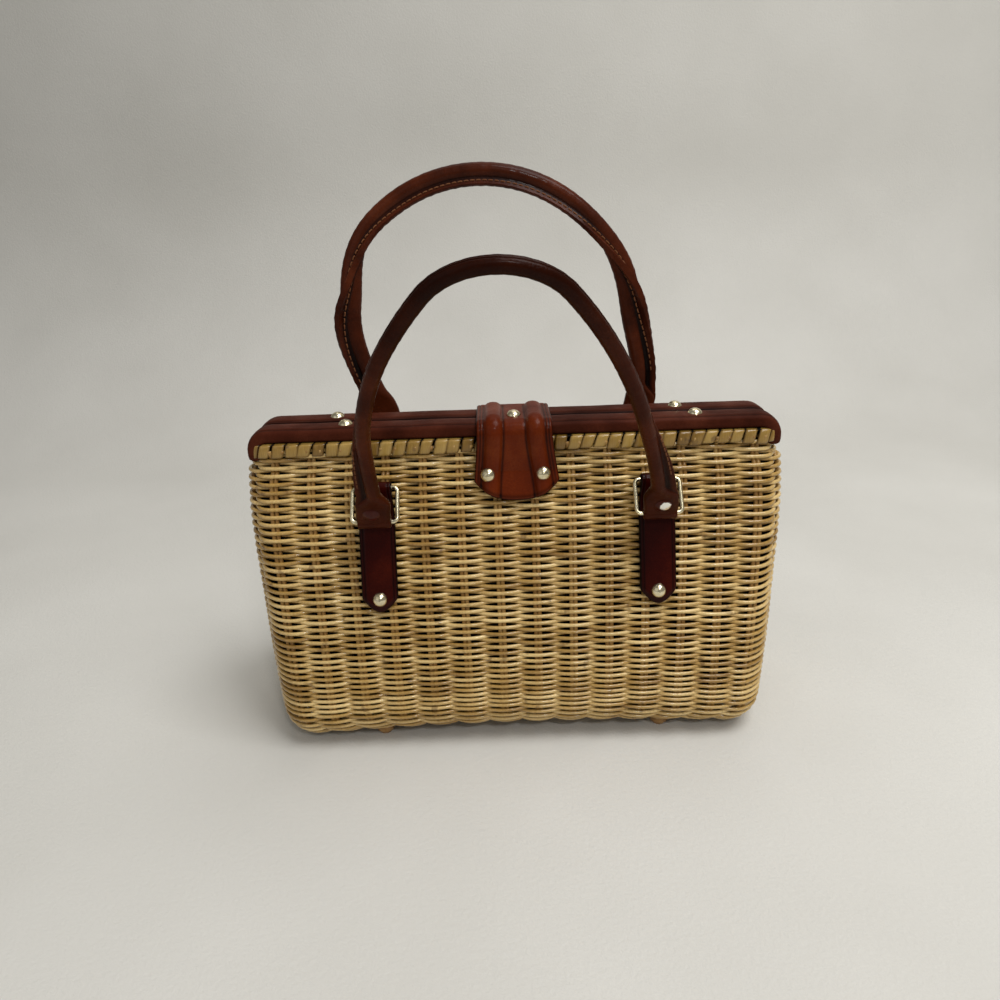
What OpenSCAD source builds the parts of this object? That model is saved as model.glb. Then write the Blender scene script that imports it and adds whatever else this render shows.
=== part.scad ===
// Basket box bag: woven reed body, leather-covered mouth bars, clasp flap, ringed rolled handles.
// Millimetres, +Z up, front towards -Y, origin on the ground under the middle of the base.

/* [Body] */
// Width over the woven wall at the mouth
body_w = 278; // [240:1:320]
// Width over the woven wall near the base
base_w = 266; // [230:1:310]
// Depth over the weave where the mouth halves bend
fold_d = 35; // [30:0.5:50]
// Depth over the weave at the rim
rim_d = 32.4; // [30:0.2:46]
// Depth over the weave at the base
base_d = 104; // [80:1:130]
// Height of the rim above the ground
rim_z = 166; // [150:1:190]
// Bending line of the mouth halves below the rim
fold_drop = 16; // [12:0.5:22]
// Radius from the wall into the base
corner_r = 12; // [8:1:18]
// Rise of the middle of the base edge over its corners
arch = 5; // [0:0.5:8]
// Height of the lowest point of the base
base_z = 5; // [4:0.5:9]
// Bulge of the wall towards its foot, as a power
wall_power = 1.42; // [1.1:0.02:1.8]

/* [Weave] */
// Paired stakes on the front, and as many on the back
front_stakes = 14; // [10:2:18]
// Stakes on each end between the front and back ones
end_stakes = 2; // [1:1:3]
// Distance between front stakes at the mouth, as a share of the body width
stake_share = 0.0687; // [0.05:0.0001:0.07]
// Woven rows from the bending line to the base corner
wall_rows = 60; // [30:2:70]
// Woven rows round the base corner
corner_rows = 8; // [4:1:10]
// Woven rows above the bending line
band_rows = 4; // [3:1:6]
// Reed standing out or in where it passes a stake
weave_amp = 0.9; // [0.3:0.05:1.2]
// Woven wall from its middle surface to the inside
wall_t = 3.4; // [2.5:0.1:5]

/* [Mouth] */
// Height of the flat cane binding
binding_h = 5.4; // [4:0.2:8]
// Binding standing out over the wall
binding_out = 1.1; // [0.9:0.05:1.6]
// Width of one leather bar
bar_w = 15; // [12:0.5:18]
// Thickness of one leather bar
bar_t = 5; // [4:0.2:7]
// Slit between the two bars
bar_slit = 1; // [0.6:0.1:2]
// Radius inside the turned-down bar ends
bar_bend = 5; // [4:0.5:9]
// Drop of the bar ends below the bend
bar_drop = 6; // [2:0.5:8]
// Width of the steel strip in a bar
core_w = 10; // [8:0.5:12]
// Thickness of the steel strip
core_t = 1.6; // [1:0.1:2.4]
// Distance of the near and far bar dome from the middle
bar_stud_x = [87, 94];

/* [Clasp] */
// Width of the flap over the bars
flap_w = 37; // [28:1:50]
// Width of the flap near its lower end
flap_low_w = 42; // [30:1:56]
// Lower end of the flap below the rim
flap_drop = 33; // [26:1:40]
// Thickness of the flap leather
flap_t = 2.2; // [1.6:0.1:3]
// Height of the two ridges over the flap
ridge_h = 2; // [1:0.1:3]
// Width of a ridge
ridge_w = 8; // [5:0.5:10]
// Distance of a ridge from the middle, at the top and at the foot
ridge_x = [11, 14];

/* [Handles] */
// Distance of the handle tabs from the middle
tab_x = 72; // [55:1:90]
// Width of a tab
tab_w = 18.4; // [15:0.2:22]
// Thickness of a doubled tab
tab_t = 3.4; // [2.4:0.1:5]
// Tab point below the rim
tab_drop = 89; // [76:1:100]
// Ring eye in the tab below the rim
eye_drop = 24; // [22:0.5:32]
// Wire of a ring
wire_d = 2.2; // [1.8:0.1:3]
// Ring across, between wire middles
ring_w = 23; // [21:0.5:28]
// Ring between its two bars
ring_h = 18; // [14:0.5:22]
// Radius of a ring corner
ring_r = 2.4; // [2:0.1:4]
// Radius of the leather round a ring bar
eye_r = 3.1; // [2.8:0.1:4]
// Width of the leather round a ring bar
eye_w = 16.6; // [14:0.2:18]
// Rolled handle across
tube_d = 8.2; // [7:0.2:12]
// Cord inside the roll
cord_d = 5; // [4:0.2:6]
// Stitched flange beyond the roll
flange_w = 4.2; // [3:0.2:6]
// Thickness of the flange
flange_t = 2.6; // [1.8:0.1:3.4]
// Length of the folded flat handle end
end_l = 22; // [18:0.5:28]
// Thickness of the folded flat handle end
end_t = 5; // [4:0.2:7]
// Front handle: rise, top radius, top half angle, side radius, side end angle
front_arc = [147.5, 32.5, 52.8, 219.6, 85.2];
// Back handle: rise, top radius, top half angle, side radius, side end angle
back_arc = [134, 82, 70.3, 88.3, 110];
// Front handle leaning forward
front_lean = 30; // [5:1:45]
// Back handle leaning back
back_lean = 2; // [0:1:20]
// Lean of the raised back rings
back_ring_lean = 40; // [30:1:60]

/* [Fittings] */
// Brass dome across
stud_d = 7.6; // [5:0.2:10]
// Brass dome height
stud_h = 2.6; // [1.5:0.1:4]
// Snap cap across
cap_d = 8.6; // [6:0.2:11]
// Snap cap height
cap_h = 1.8; // [1:0.1:3]
// Foot across
foot_d = 11; // [8:0.5:16]
// Distance of a foot from the middle, along and across
foot_at = [77, 36];
// Room between pieces that do not move on each other
seat = 0.3; // [0.15:0.05:0.5]
// Room round a ring bar in its leather eye
run = 0.1; // [0.05:0.01:0.15]

/* [Hidden] */
$fn = 48;

reed = [0.80, 0.64, 0.38];
cane = [0.85, 0.72, 0.48];
hide = [0.36, 0.13, 0.07];
brass = [0.85, 0.72, 0.40];
cloth = [0.04, 0.04, 0.04];
oxblood = [0.22, 0.03, 0.04];
timber = [0.62, 0.42, 0.22];
board = [0.45, 0.38, 0.30];
steel = [0.55, 0.55, 0.56];
cord_colour = [0.70, 0.66, 0.58];

// heights and places that follow the rim and the width
fold_z = rim_z - fold_drop;
flap_low_z = rim_z - flap_drop;
tab_low_z = rim_z - tab_drop;
eye_z = rim_z - eye_drop;
stake_pitch = stake_share * body_w;
cap_at = 9;
through = 2 * base_d;

// stakes counted from the middle of the front, k = 0, round to k = stakes
stakes = 2 * front_stakes + 2 * end_stakes;
front_k = (front_stakes - 1) / 2;
half_k = stakes / 2;
ring_n = 2 * stakes;
wall_top = fold_z - 0.6;
wall_foot = base_z + corner_r + 3;
row_h = (wall_top - wall_foot) / wall_rows;
base_rings = 3;
base_shrink = 0.26;
inner_rings = 6;
inner_turn = 3;
floor_z = base_z + arch + wall_t + 1.2;
board_t = 2;
lining_t = 0.8;
band_low = fold_z + 1.5;
band_high = rim_z - binding_h - seat;
band_k = front_k + 0.5;
bar_low = rim_z + seat;
bar_top = bar_low + bar_t;
bar_x = body_w / 2 - bar_bend - bar_t + 0.6;
crossing = -0.9;
valley = -1.7;
wave = [crossing, 1, crossing, valley];
mouth_r = 12;
foot_r = 24;
r_gain = 0.1;
slim = 0.1;

// half width, half depth and corner radius of the woven wall at a height
function wall_a(z) = let(t = (fold_z - z) / fold_z) body_w / 2 - (body_w - base_w) / 2 * pow(max(t, 0), 2);
function low_b(z) = let(t = min((fold_z - z) / (fold_z - base_z - 10), 1))
    fold_d / 2 + (base_d - fold_d) / 2 * (1 - pow(1 - t, wall_power));
function high_b(z) = fold_d / 2 - (fold_d - rim_d) / 2 * (z - fold_z) / (rim_z - fold_z);
function wall_b(z) = z > fold_z ? high_b(z) : low_b(z);
function wall_r(z) = z > fold_z ? mouth_r : min(mouth_r + (fold_z - z) * r_gain, foot_r);

// rounded rectangle: distance l along its edge from the middle of the front to a point and its normal
function edge_len(a, b, r) = 4 * (a + b) - (8 - 2 * PI) * r;
function edge_pt(l, a, b, r) = let(l1 = a - r, l2 = l1 + PI * r / 2, l3 = l2 + 2 * (b - r), l4 = l3 + PI * r / 2)
    l <= l1 ? [l, -b]
    : l <= l2 ? let(q = (l - l1) / r * 180 / PI) [a - r + r * sin(q), -b + r - r * cos(q)]
    : l <= l3 ? [a, -b + r + l - l2]
    : l <= l4 ? let(q = (l - l3) / r * 180 / PI) [a - r + r * cos(q), b - r + r * sin(q)]
    : [a - r - (l - l4), b];
function edge_nrm(l, a, b, r) = let(l1 = a - r, l2 = l1 + PI * r / 2, l3 = l2 + 2 * (b - r), l4 = l3 + PI * r / 2)
    l <= l1 ? [0, -1]
    : l <= l2 ? let(q = (l - l1) / r * 180 / PI) [sin(q), -cos(q)]
    : l <= l3 ? [1, 0]
    : l <= l4 ? let(q = (l - l3) / r * 180 / PI) [cos(q), sin(q)]
    : [0, 1];
function stake_len(k, a, half) = let(s = stake_pitch * a / (body_w / 2), rest = half - 2 * front_k * s)
    k <= front_k ? k * s
    : k <= half_k - front_k ? front_k * s + (k - front_k) * rest / (half_k - 2 * front_k)
    : half - (half_k - k) * s;
function arch_at(x, z) = arch * max(0, 1 - pow(2 * x / base_w, 2)) * pow(min(max((60 - z) / 45, 0), 1), 2);

// point of the woven surface at stake position k, moved out by off
function weave_pt(k, a, b, r, z, off, curve = 1) = let(
    right = k <= half_k, kk = abs(right ? k : 2 * half_k - k),
    l = stake_len(kk, a, edge_len(a, b, r) / 2),
    p = edge_pt(l, a, b, r) + off * edge_nrm(l, a, b, r),
    x = (k < 0 || !right ? -1 : 1) * p[0])
    [x, p[1], z + curve * arch_at(x, z)];
function wave_at(j, row) = wave[(j + 2 * row) % 4] * weave_amp;

// outer surface of row m: wall, base corner, base
function outer_row(m, j) = let(k = j / 2)
    m <= wall_rows ? let(z = wall_top - m * row_h) weave_pt(k, wall_a(z), wall_b(z), wall_r(z), z, wave_at(j, m))
    : m <= wall_rows + corner_rows ? let(q = 90 * (m - wall_rows) / corner_rows, in = corner_r * (1 - cos(q)),
        z = wall_foot - (wall_foot - base_z) * sin(q))
        weave_pt(k, wall_a(wall_foot) - in, wall_b(wall_foot) - in, wall_r(wall_foot) - in, z, wave_at(j, m))
    : let(f = 1 - base_shrink * (m - wall_rows - corner_rows), a = (wall_a(wall_foot) - corner_r) * f,
        b = (wall_b(wall_foot) - corner_r) * f, r = (wall_r(wall_foot) - corner_r) * f)
        weave_pt(k, a, b, r, base_z, 0);
function inner_row(m, j, out) = let(k = j / 2)
    m <= inner_rings ? let(z = wall_top - m * (wall_top - wall_foot - floor_z + base_z) / inner_rings)
        weave_pt(k, wall_a(z), wall_b(z), wall_r(z), z, -out, 0)
    : let(q = 90 * (m - inner_rings) / inner_turn, foot = wall_foot + floor_z - base_z, in = corner_r * (1 - cos(q)))
        weave_pt(k, wall_a(foot) - in, wall_b(foot) - in, max(wall_r(foot) - in, wall_t + 2),
            foot - (foot - floor_z) * sin(q), -out, 0);

// faces of a stack of rings, seen from outside; flip turns them inside out
function stack_faces(first, rows, n, flip = false) = [for (m = [0 : rows - 1], j = [0 : n - 1], h = [0, 1]) let(
    p = first + m * n + j, q = first + m * n + (j + 1) % n, u = p + n, v = q + n,
    f = h == 0 ? [p, q, v] : [p, v, u]) flip ? [f[2], f[1], f[0]] : f];
function fan_faces(first, n, hub, flip = false) = [for (j = [0 : n - 1]) let(p = first + j, q = first + (j + 1) % n)
    flip ? [q, p, hub] : [p, q, hub]];
function rim_faces(outer, inner, n) = [for (j = [0 : n - 1], h = [0, 1]) let(
    p = outer + j, q = outer + (j + 1) % n, u = inner + j, v = inner + (j + 1) % n)
    h == 0 ? [p, u, v] : [p, v, q]];

// closed strip of two facing grids of rows by n points, grid two behind grid one
function strip_faces(rows, n) = let(back = rows * n) concat(
    [for (m = [0 : rows - 2], j = [0 : n - 2], h = [0, 1]) let(p = m * n + j, q = p + 1, u = p + n, v = q + n)
        h == 0 ? [p, q, v] : [p, v, u]],
    [for (m = [0 : rows - 2], j = [0 : n - 2], h = [0, 1]) let(p = back + m * n + j, q = p + 1, u = p + n, v = q + n)
        h == 0 ? [v, q, p] : [u, v, p]],
    [for (j = [0 : n - 2], h = [0, 1]) let(p = j, q = j + 1, u = back + j, v = back + j + 1)
        h == 0 ? [p, u, v] : [p, v, q]],
    [for (j = [0 : n - 2], h = [0, 1]) let(p = (rows - 1) * n + j, q = p + 1, u = back + p, v = u + 1)
        h == 0 ? [v, u, p] : [q, v, p]],
    [for (m = [0 : rows - 2], h = [0, 1]) let(p = m * n, q = p + n, u = back + p, v = back + q)
        h == 0 ? [p, q, v] : [p, v, u]],
    [for (m = [0 : rows - 2], h = [0, 1]) let(p = m * n + n - 1, q = p + n, u = back + p, v = back + q)
        h == 0 ? [v, q, p] : [u, v, p]]);

module basket() {
    outer_n = wall_rows + corner_rows + base_rings + 1;
    inner_n = inner_rings + inner_turn + 1;
    outer = [for (m = [0 : outer_n - 1], j = [0 : ring_n - 1]) outer_row(m, j)];
    inner = [for (m = [0 : inner_n - 1], j = [0 : ring_n - 1]) inner_row(m, j, wall_t)];
    hubs = [[0, 0, base_z + arch], [0, 0, floor_z]];
    start = outer_n * ring_n;
    hub = start + inner_n * ring_n;
    color(reed) polyhedron(concat(outer, inner, hubs), concat(
        stack_faces(0, outer_n - 1, ring_n),
        fan_faces((outer_n - 1) * ring_n, ring_n, hub),
        stack_faces(start, inner_n - 1, ring_n, true),
        fan_faces(start + (inner_n - 1) * ring_n, ring_n, hub + 1, true),
        rim_faces(0, start, ring_n)));
}

module rounded_slab(a, b, r, t) {
    linear_extrude(t) {
        square([2 * a, 2 * (b - r)], center = true);
        square([2 * (a - r), 2 * b], center = true);
        for (x = [-1, 1], y = [-1, 1]) translate([x * (a - r), y * (b - r)]) circle(r);
    }
}

module base_board() {
    a = wall_a(wall_foot) - corner_r - wall_t - 1;
    b = wall_b(wall_foot) - corner_r - wall_t - 1;
    color(board) translate([0, 0, floor_z + seat]) rounded_slab(a, b, 12, board_t);
}

module lining() {
    rows = inner_rings + inner_turn + 1;
    lift = seat + board_t + seat;
    n = stakes;
    squeeze = (wall_top - floor_z - lift) / (wall_top - floor_z);
    function up(p, more) = [p[0], p[1], floor_z + lift + more + (p[2] - floor_z) * squeeze];
    outer = [for (m = [0 : rows - 1], j = [0 : n - 1]) up(inner_row(m, 2 * j, wall_t + seat + 0.5), 0)];
    inner = [for (m = [0 : rows - 1], j = [0 : n - 1])
        up(inner_row(m, 2 * j, wall_t + seat + 0.5 + lining_t), m == 0 ? 0 : lining_t)];
    hubs = [[0, 0, floor_z + lift], [0, 0, floor_z + lift + lining_t]];
    start = rows * n;
    color(cloth) polyhedron(concat(outer, inner, hubs), concat(
        stack_faces(0, rows - 1, n),
        fan_faces((rows - 1) * n, n, 2 * start),
        stack_faces(start, rows - 1, n, true),
        fan_faces(start + (rows - 1) * n, n, 2 * start + 1, true),
        rim_faces(0, start, n)));
}

module foot() {
    neck = base_z + arch_at(foot_at[0], base_z) - seat;
    rotate_extrude() {
        intersection() {
            translate([0, foot_d * 0.42]) circle(foot_d / 2);
            square([foot_d, neck]);
        }
        square([foot_d * 0.3, neck]);
    }
}

module feet() {
    color(timber) for (x = [-1, 1], y = [-1, 1]) translate([x * foot_at[0], y * foot_at[1], 0]) foot();
}

// black cloth closing the end slit, pleated inwards
module gusset() {
    x = body_w / 2 - 8.4;
    y = rim_d / 2 - wall_t - 1.4;
    t = 1.2;
    fold = 5;
    color(cloth) translate([0, 0, fold_z - 8]) linear_extrude(rim_z - fold_z + 6)
        polygon([[x, -y], [x, -y + t], [x - fold, 0], [x, y - t], [x, y], [x - t, y],
            [x - fold - t, 0], [x - t, -y]]);
}

module left_gusset() mirror([1, 0, 0]) gusset();

module right_gusset() gusset();

// woven rows over the bending line, from one end slit to the other
module band() {
    n = 4 * band_k + 1;
    rows = band_rows + 1;
    function z(m) = band_high - m * (band_high - band_low) / band_rows;
    function pt(m, j, off) = weave_pt(j / 2 - band_k, wall_a(z(m)), wall_b(z(m)), wall_r(z(m)), z(m), off, 0);
    outer = [for (m = [0 : rows - 1], j = [0 : n - 1]) pt(m, j, wave_at(j + 2, m))];
    inner = [for (m = [0 : rows - 1], j = [0 : n - 1]) pt(m, j, -wall_t)];
    color(reed) polyhedron(concat(outer, inner), strip_faces(rows, n));
}

// flat cane wrapped over the rim, one rib for each wrap
module binding() {
    per = 4;
    n = 2 * band_k * per + 1;
    zs = [rim_z, rim_z - 1, rim_z - binding_h + 1, rim_z - binding_h];
    outs = [-0.4, binding_out, binding_out, 0.2];
    function pt(m, j, off) = weave_pt(j / per - band_k, wall_a(zs[m]), wall_b(zs[m]), wall_r(zs[m]), zs[m], off, 0);
    outer = [for (m = [0 : 3], j = [0 : n - 1]) pt(m, j, outs[m] - (j % 2 == 0 ? 0.5 : 0))];
    inner = [for (m = [0 : 3], j = [0 : n - 1]) pt(m, j, -wall_t - 0.4)];
    color(cane) polyhedron(concat(outer, inner), strip_faces(4, n));
}

// sweep of a bar profile along the mouth and down at both ends
module bar_sweep() {
    rotate([90, 0, 90]) translate([0, 0, -bar_x]) linear_extrude(2 * bar_x) children();
    for (s = [0, 1]) mirror([s, 0, 0]) translate([bar_x, 0, -bar_bend]) {
        rotate([90, 0, 0]) rotate_extrude(angle = 90) translate([bar_bend, 0]) rotate(-90) children();
        translate([0, 0, -bar_drop]) linear_extrude(bar_drop) translate([bar_bend, 0]) mirror([0, 1]) rotate(-90) children();
    }
}

module bar_profile() {
    y = -bar_slit / 2 - bar_w / 2;
    r = 1.6;
    translate([y, 0]) {
        translate([-bar_w / 2 + r, 0]) square([bar_w - 2 * r, bar_t]);
        translate([-bar_w / 2, r]) square([bar_w, bar_t - 2 * r]);
        for (x = [-1, 1], z = [r, bar_t - r]) translate([x * (bar_w / 2 - r), z]) circle(r);
    }
}

module core_profile(room) {
    translate([-bar_slit / 2 - bar_w / 2, bar_t / 2]) square([core_w + 2 * room, core_t + 2 * room], center = true);
}

module bar() {
    color(hide) translate([0, 0, bar_low]) difference() {
        bar_sweep() bar_profile();
        core_slot();
    }
}

module core_slot() {
    rotate([90, 0, 90]) translate([0, 0, -bar_x]) linear_extrude(2 * bar_x) core_profile(0.05);
}

module core() {
    color(steel) translate([0, 0, bar_low]) rotate([90, 0, 90])
        translate([0, 0, -bar_x + 0.05]) linear_extrude(2 * bar_x - 0.1) core_profile(0);
}

// brass dome standing on z = 0
module stud(d, h) {
    ball = (d * d / 4 + h * h) / (2 * h);
    rotate_extrude() intersection() {
        translate([0, h - ball]) circle(ball, $fn = 96);
        square([d, h]);
    }
}

module bar_studs() {
    color(brass) for (x = [-bar_stud_x[0], bar_stud_x[1]])
        translate([x, -bar_slit / 2 - bar_w / 2, bar_top + 0.1]) stud(stud_d, stud_h);
}

module back() rotate([0, 0, 180]) children();

module front_band() band();

module front_binding() binding();

module front_core() core();

module front_bar() bar();

module front_studs() bar_studs();

module back_band() back() band();

module back_binding() back() binding();

module back_core() back() core();

module back_bar() back() bar();

module back_studs() back() bar_studs();

// snap post on the front half, under the flap
post_z = rim_z - binding_h / 2;
post_y = wall_b(post_z) + binding_out;
module clasp_post() {
    color(brass) translate([0, -post_y - 0.1, post_z]) rotate([90, 0, 0]) {
        cylinder(d = 4.4, h = 0.5);
        cylinder(d = 2.4, h = 1);
    }
}

// underside of the flap: over the bars, round the front bar, down in front of the weave
flap_low = bar_top + seat;
flap_bend = 5;
flap_hinge_y = 1.2;
ridge_back = 3;
flap_front = post_y + 1.7;
function flap_y(z) = max(flap_front, wall_b(z) + weave_amp + 0.9);
function flap_path(t) = concat(
    [[flap_hinge_y, flap_low + t]],
    [for (q = [90 : 15 : 180]) [-flap_front + flap_bend + (flap_bend + t) * cos(q),
        flap_low - flap_bend + (flap_bend + t) * sin(q)]],
    [for (i = [1 : 7]) let(z = flap_low - flap_bend - i * (flap_low - flap_bend - flap_low_z) / 7) [-flap_y(z) - t, z]]);
function reversed(v) = [for (i = [len(v) - 1 : -1 : 0]) v[i]];

module flap_strip(from, to, w) {
    rotate([90, 0, 90]) translate([0, 0, -w / 2]) linear_extrude(w)
        polygon(concat(flap_path(from), reversed(flap_path(to))));
}

// outline of the flap seen from the front: spread sides and a rounded foot
module flap_outline() {
    foot_r = flap_low_w * 0.62;
    rotate([90, 0, 0]) linear_extrude(through, center = true) intersection() {
        polygon([[-flap_w / 2, bar_top + 20], [flap_w / 2, bar_top + 20], [flap_w / 2, bar_top - 6],
            [flap_low_w / 2, flap_low_z], [-flap_low_w / 2, flap_low_z], [-flap_w / 2, bar_top - 6]]);
        union() {
            translate([0, flap_low_z + foot_r]) circle(foot_r, $fn = 96);
            translate([-flap_low_w, flap_low_z + foot_r * 0.32]) square([2 * flap_low_w, 90]);
        }
    }
}

module clasp_flap() {
    lean = atan((ridge_x[1] - ridge_x[0]) / (bar_top - flap_low_z));
    color(hide) {
        intersection() {
            flap_strip(0, flap_t, flap_low_w);
            flap_outline();
        }
        for (s = [-1, 1]) intersection() {
            flap_strip(flap_t - 0.2, flap_t + ridge_h, flap_low_w);
            flap_outline();
            translate([s * ridge_x[0], 0, bar_top]) rotate([0, s * -lean, 0])
                translate([-ridge_w / 2, -120 - ridge_back, -60]) cube([ridge_w, 120, 120]);
        }
        translate([-flap_w / 2, flap_hinge_y, flap_low + flap_t / 2]) rotate([0, 90, 0]) cylinder(d = flap_t, h = flap_w);
    }
}

// end of the flap leather that stays on the back bar
module clasp_anchor() {
    y = flap_hinge_y + flap_t / 2 + 0.8;
    color(hide) translate([-flap_w / 2, y, flap_low]) cube([flap_w, bar_slit / 2 + bar_w - 1.6 - y, flap_t]);
}

flap_stud_z = flap_low_z + 14;
module flap_studs() {
    tilt = atan((flap_y(flap_stud_z - 4) - flap_y(flap_stud_z + 4)) / 8);
    color(brass) {
        translate([0, -bar_w * 0.62, flap_low + flap_t + 0.1]) stud(stud_d, stud_h);
        for (s = [-1, 1]) translate([s * ridge_x[1], -flap_y(flap_stud_z) - flap_t - ridge_h - 0.45, flap_stud_z])
            rotate([90 - tilt, 0, 0]) stud(stud_d, stud_h);
    }
}

// tab on the wall, folded at its top round the upper bar of a ring
function tab_y(z) = wall_b(z) + weave_amp + seat;
eye_y = tab_y(eye_z) + eye_r + 0.5;
tab_stud_z = tab_low_z + 10;

module tab() {
    steps = 12;
    zs = [for (i = [0 : steps]) tab_low_z + (eye_z + 1 - tab_low_z) * i / steps];
    tip = tab_w * 0.36;
    difference() {
        union() {
            intersection() {
                rotate([90, 0, 90]) translate([0, 0, -tab_w / 2]) linear_extrude(tab_w) polygon(concat(
                    [for (z = zs) [-tab_y(z), z]], [for (z = reversed(zs)) [-tab_y(z) - tab_t, z]]));
                rotate([90, 0, 0]) linear_extrude(through, center = true) union() {
                    translate([-tab_w / 2, tab_low_z + tip]) square([tab_w, eye_z - tab_low_z - tip - 7]);
                    translate([-eye_w / 2, eye_z - 12]) square([eye_w, 20]);
                    polygon([[-tab_w / 2, tab_low_z + tip], [tab_w / 2, tab_low_z + tip],
                        [tab_w * 0.2, tab_low_z], [-tab_w * 0.2, tab_low_z]]);
                }
            }
            translate([-eye_w / 2, -eye_y, eye_z]) rotate([0, 90, 0]) cylinder(r = eye_r, h = eye_w);
        }
        translate([-tab_w, -eye_y, eye_z]) rotate([0, 90, 0]) cylinder(d = wire_d + 2 * run, h = 2 * tab_w);
    }
}

module front_tab_left() color(hide) translate([-tab_x, 0, 0]) tab();

module front_tab_right() color(hide) translate([tab_x, 0, 0]) tab();

module back_tab_left() color(hide) back() translate([tab_x, 0, 0]) tab();

module back_tab_right() color(hide) back() translate([-tab_x, 0, 0]) tab();

module tab_studs() {
    tilt = atan((wall_b(tab_stud_z - 4) - wall_b(tab_stud_z + 4)) / 8);
    color(brass) for (turn = [0, 180], x = [-tab_x, tab_x]) rotate([0, 0, turn])
        translate([x, -tab_y(tab_stud_z) - tab_t - 0.4, tab_stud_z]) rotate([90 - tilt, 0, 0]) stud(stud_d, stud_h);
}

// wire ring hanging along -Z from its upper bar on the X axis
module wire_ring() {
    half = ring_w / 2;
    side = half - ring_r;
    for (z = [0, -ring_h]) translate([-side, 0, z]) rotate([0, 90, 0]) cylinder(d = wire_d, h = 2 * side);
    for (x = [-half, half]) translate([x, 0, -ring_h + ring_r]) cylinder(d = wire_d, h = ring_h - 2 * ring_r);
    for (s = [0, 1], t = [0, 1]) translate([0, 0, -ring_h / 2]) mirror([s, 0, 0]) mirror([0, 0, t])
        translate([side, 0, ring_h / 2 - ring_r]) rotate([90, 0, 0])
            rotate_extrude(angle = 90) translate([ring_r, 0]) circle(d = wire_d);
}

// the front rings hang on the tabs, the back ones stand up
low_z = eye_z - ring_h * 0.806;
low_y = eye_y + sqrt(ring_h * ring_h - pow(eye_z - low_z, 2));
front_hang = atan2(low_y - eye_y, eye_z - low_z);
back_swing = 180 - back_ring_lean;
pivot_front = [low_y, low_z];
pivot_back = [eye_y + ring_h * sin(back_ring_lean), eye_z + ring_h * cos(back_ring_lean)];

module hung_ring(x, swing) translate([x, -eye_y, eye_z]) rotate([-swing, 0, 0]) wire_ring();

module front_ring_left() color(brass) hung_ring(-tab_x, front_hang);

module front_ring_right() color(brass) hung_ring(tab_x, front_hang);

module back_ring_left() color(brass) back() hung_ring(tab_x, back_swing);

module back_ring_right() color(brass) back() hung_ring(-tab_x, back_swing);

// arch of a handle in its own plane: top arc, and two side arcs let a little into it,
// swept with the first and the slightly slimmer second profile
module arch_sweep(arc, short = 0) {
    r1 = arc[1];
    r2 = arc[3];
    lap = 1;
    top = arc[0] - r1;
    mid = [(r1 - r2) * sin(arc[2]), top + (r1 - r2) * cos(arc[2])];
    translate([0, top]) rotate(90 - arc[2]) rotate_extrude(angle = 2 * arc[2]) translate([r1, 0]) children(0);
    for (s = [0, 1]) mirror([s, 0, 0]) translate(mid) rotate(90 - arc[4] + short)
        rotate_extrude(angle = arc[4] - short - arc[2] + lap * 60 / r2) translate([r2, 0]) children(1);
}

// roll with its flange outside (1), inside (-1) or rolled in (0)
module tube_profile(side, slim = 0) {
    circle(d = tube_d - slim);
    if (side != 0) mirror([side < 0 ? 1 : 0, 0])
        translate([0, -flange_t / 2 + slim / 2]) square([tube_d / 2 + flange_w - slim, flange_t - slim]);
}

module handle_end() {
    difference() {
        union() {
            translate([-eye_w / 2, 0, -end_t / 2]) cube([eye_w, end_l, end_t]);
            translate([-eye_w / 2, 0, 0]) rotate([0, 90, 0]) cylinder(r = eye_r, h = eye_w);
        }
        translate([-eye_w, 0, 0]) rotate([0, 90, 0]) cylinder(d = wire_d + 2 * run, h = 2 * eye_w);
    }
}

// room in the roll for the cord, or the cord itself
module cord_sweep(arc, room) {
    arch_sweep(arc, 60 / arc[3]) {
        circle(d = cord_d + room);
        circle(d = cord_d + room - slim);
    }
}

// handle plane stood up: x across, y up, z towards the viewer
module handle_pose(pivot, lean) translate([0, -pivot[0], pivot[1]]) rotate([lean, 0, 0]) rotate([90, 0, 0]) children();

// handle whose flange lies outside on the legs and on the given side over the top
module handle(arc, top_side) {
    difference() {
        union() {
            arch_sweep(arc) {
                tube_profile(top_side);
                tube_profile(1, slim);
            }
            for (s = [-1, 1]) translate([s * tab_x, 0, 0]) handle_end();
        }
        cord_sweep(arc, 0.1);
    }
}

module caps() {
    for (s = [-1, 1]) translate([s * tab_x, cap_at, end_t / 2 + slim]) stud(cap_d, cap_h);
}

module front_handle() color(hide) handle_pose(pivot_front, front_lean) handle(front_arc, 0);

module front_cord() color(cord_colour) handle_pose(pivot_front, front_lean) cord_sweep(front_arc, 0);

module front_caps() color(oxblood) handle_pose(pivot_front, front_lean) caps();

module back_handle() color(hide) back() handle_pose(pivot_back, back_lean) handle(back_arc, -1);

module back_cord() color(cord_colour) back() handle_pose(pivot_back, back_lean) cord_sweep(back_arc, 0);

module back_caps() color(oxblood) back() handle_pose(pivot_back, back_lean) caps();

basket();
base_board();
lining();
feet();
left_gusset();
right_gusset();
front_band();
front_binding();
front_core();
front_bar();
front_studs();
clasp_post();
back_band();
back_binding();
back_core();
back_bar();
back_studs();
clasp_anchor();
clasp_flap();
flap_studs();
front_tab_left();
front_tab_right();
back_tab_left();
back_tab_right();
tab_studs();
front_ring_left();
front_ring_right();
back_ring_left();
back_ring_right();
front_handle();
front_cord();
front_caps();
back_handle();
back_cord();
back_caps();
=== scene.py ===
"""Looks of the basket box bag: reed weave, cane binding, leather, brass and a plain studio stage."""

import math
from types import SimpleNamespace

import bpy
import numpy as np
from mathutils import Matrix, Vector


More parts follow.
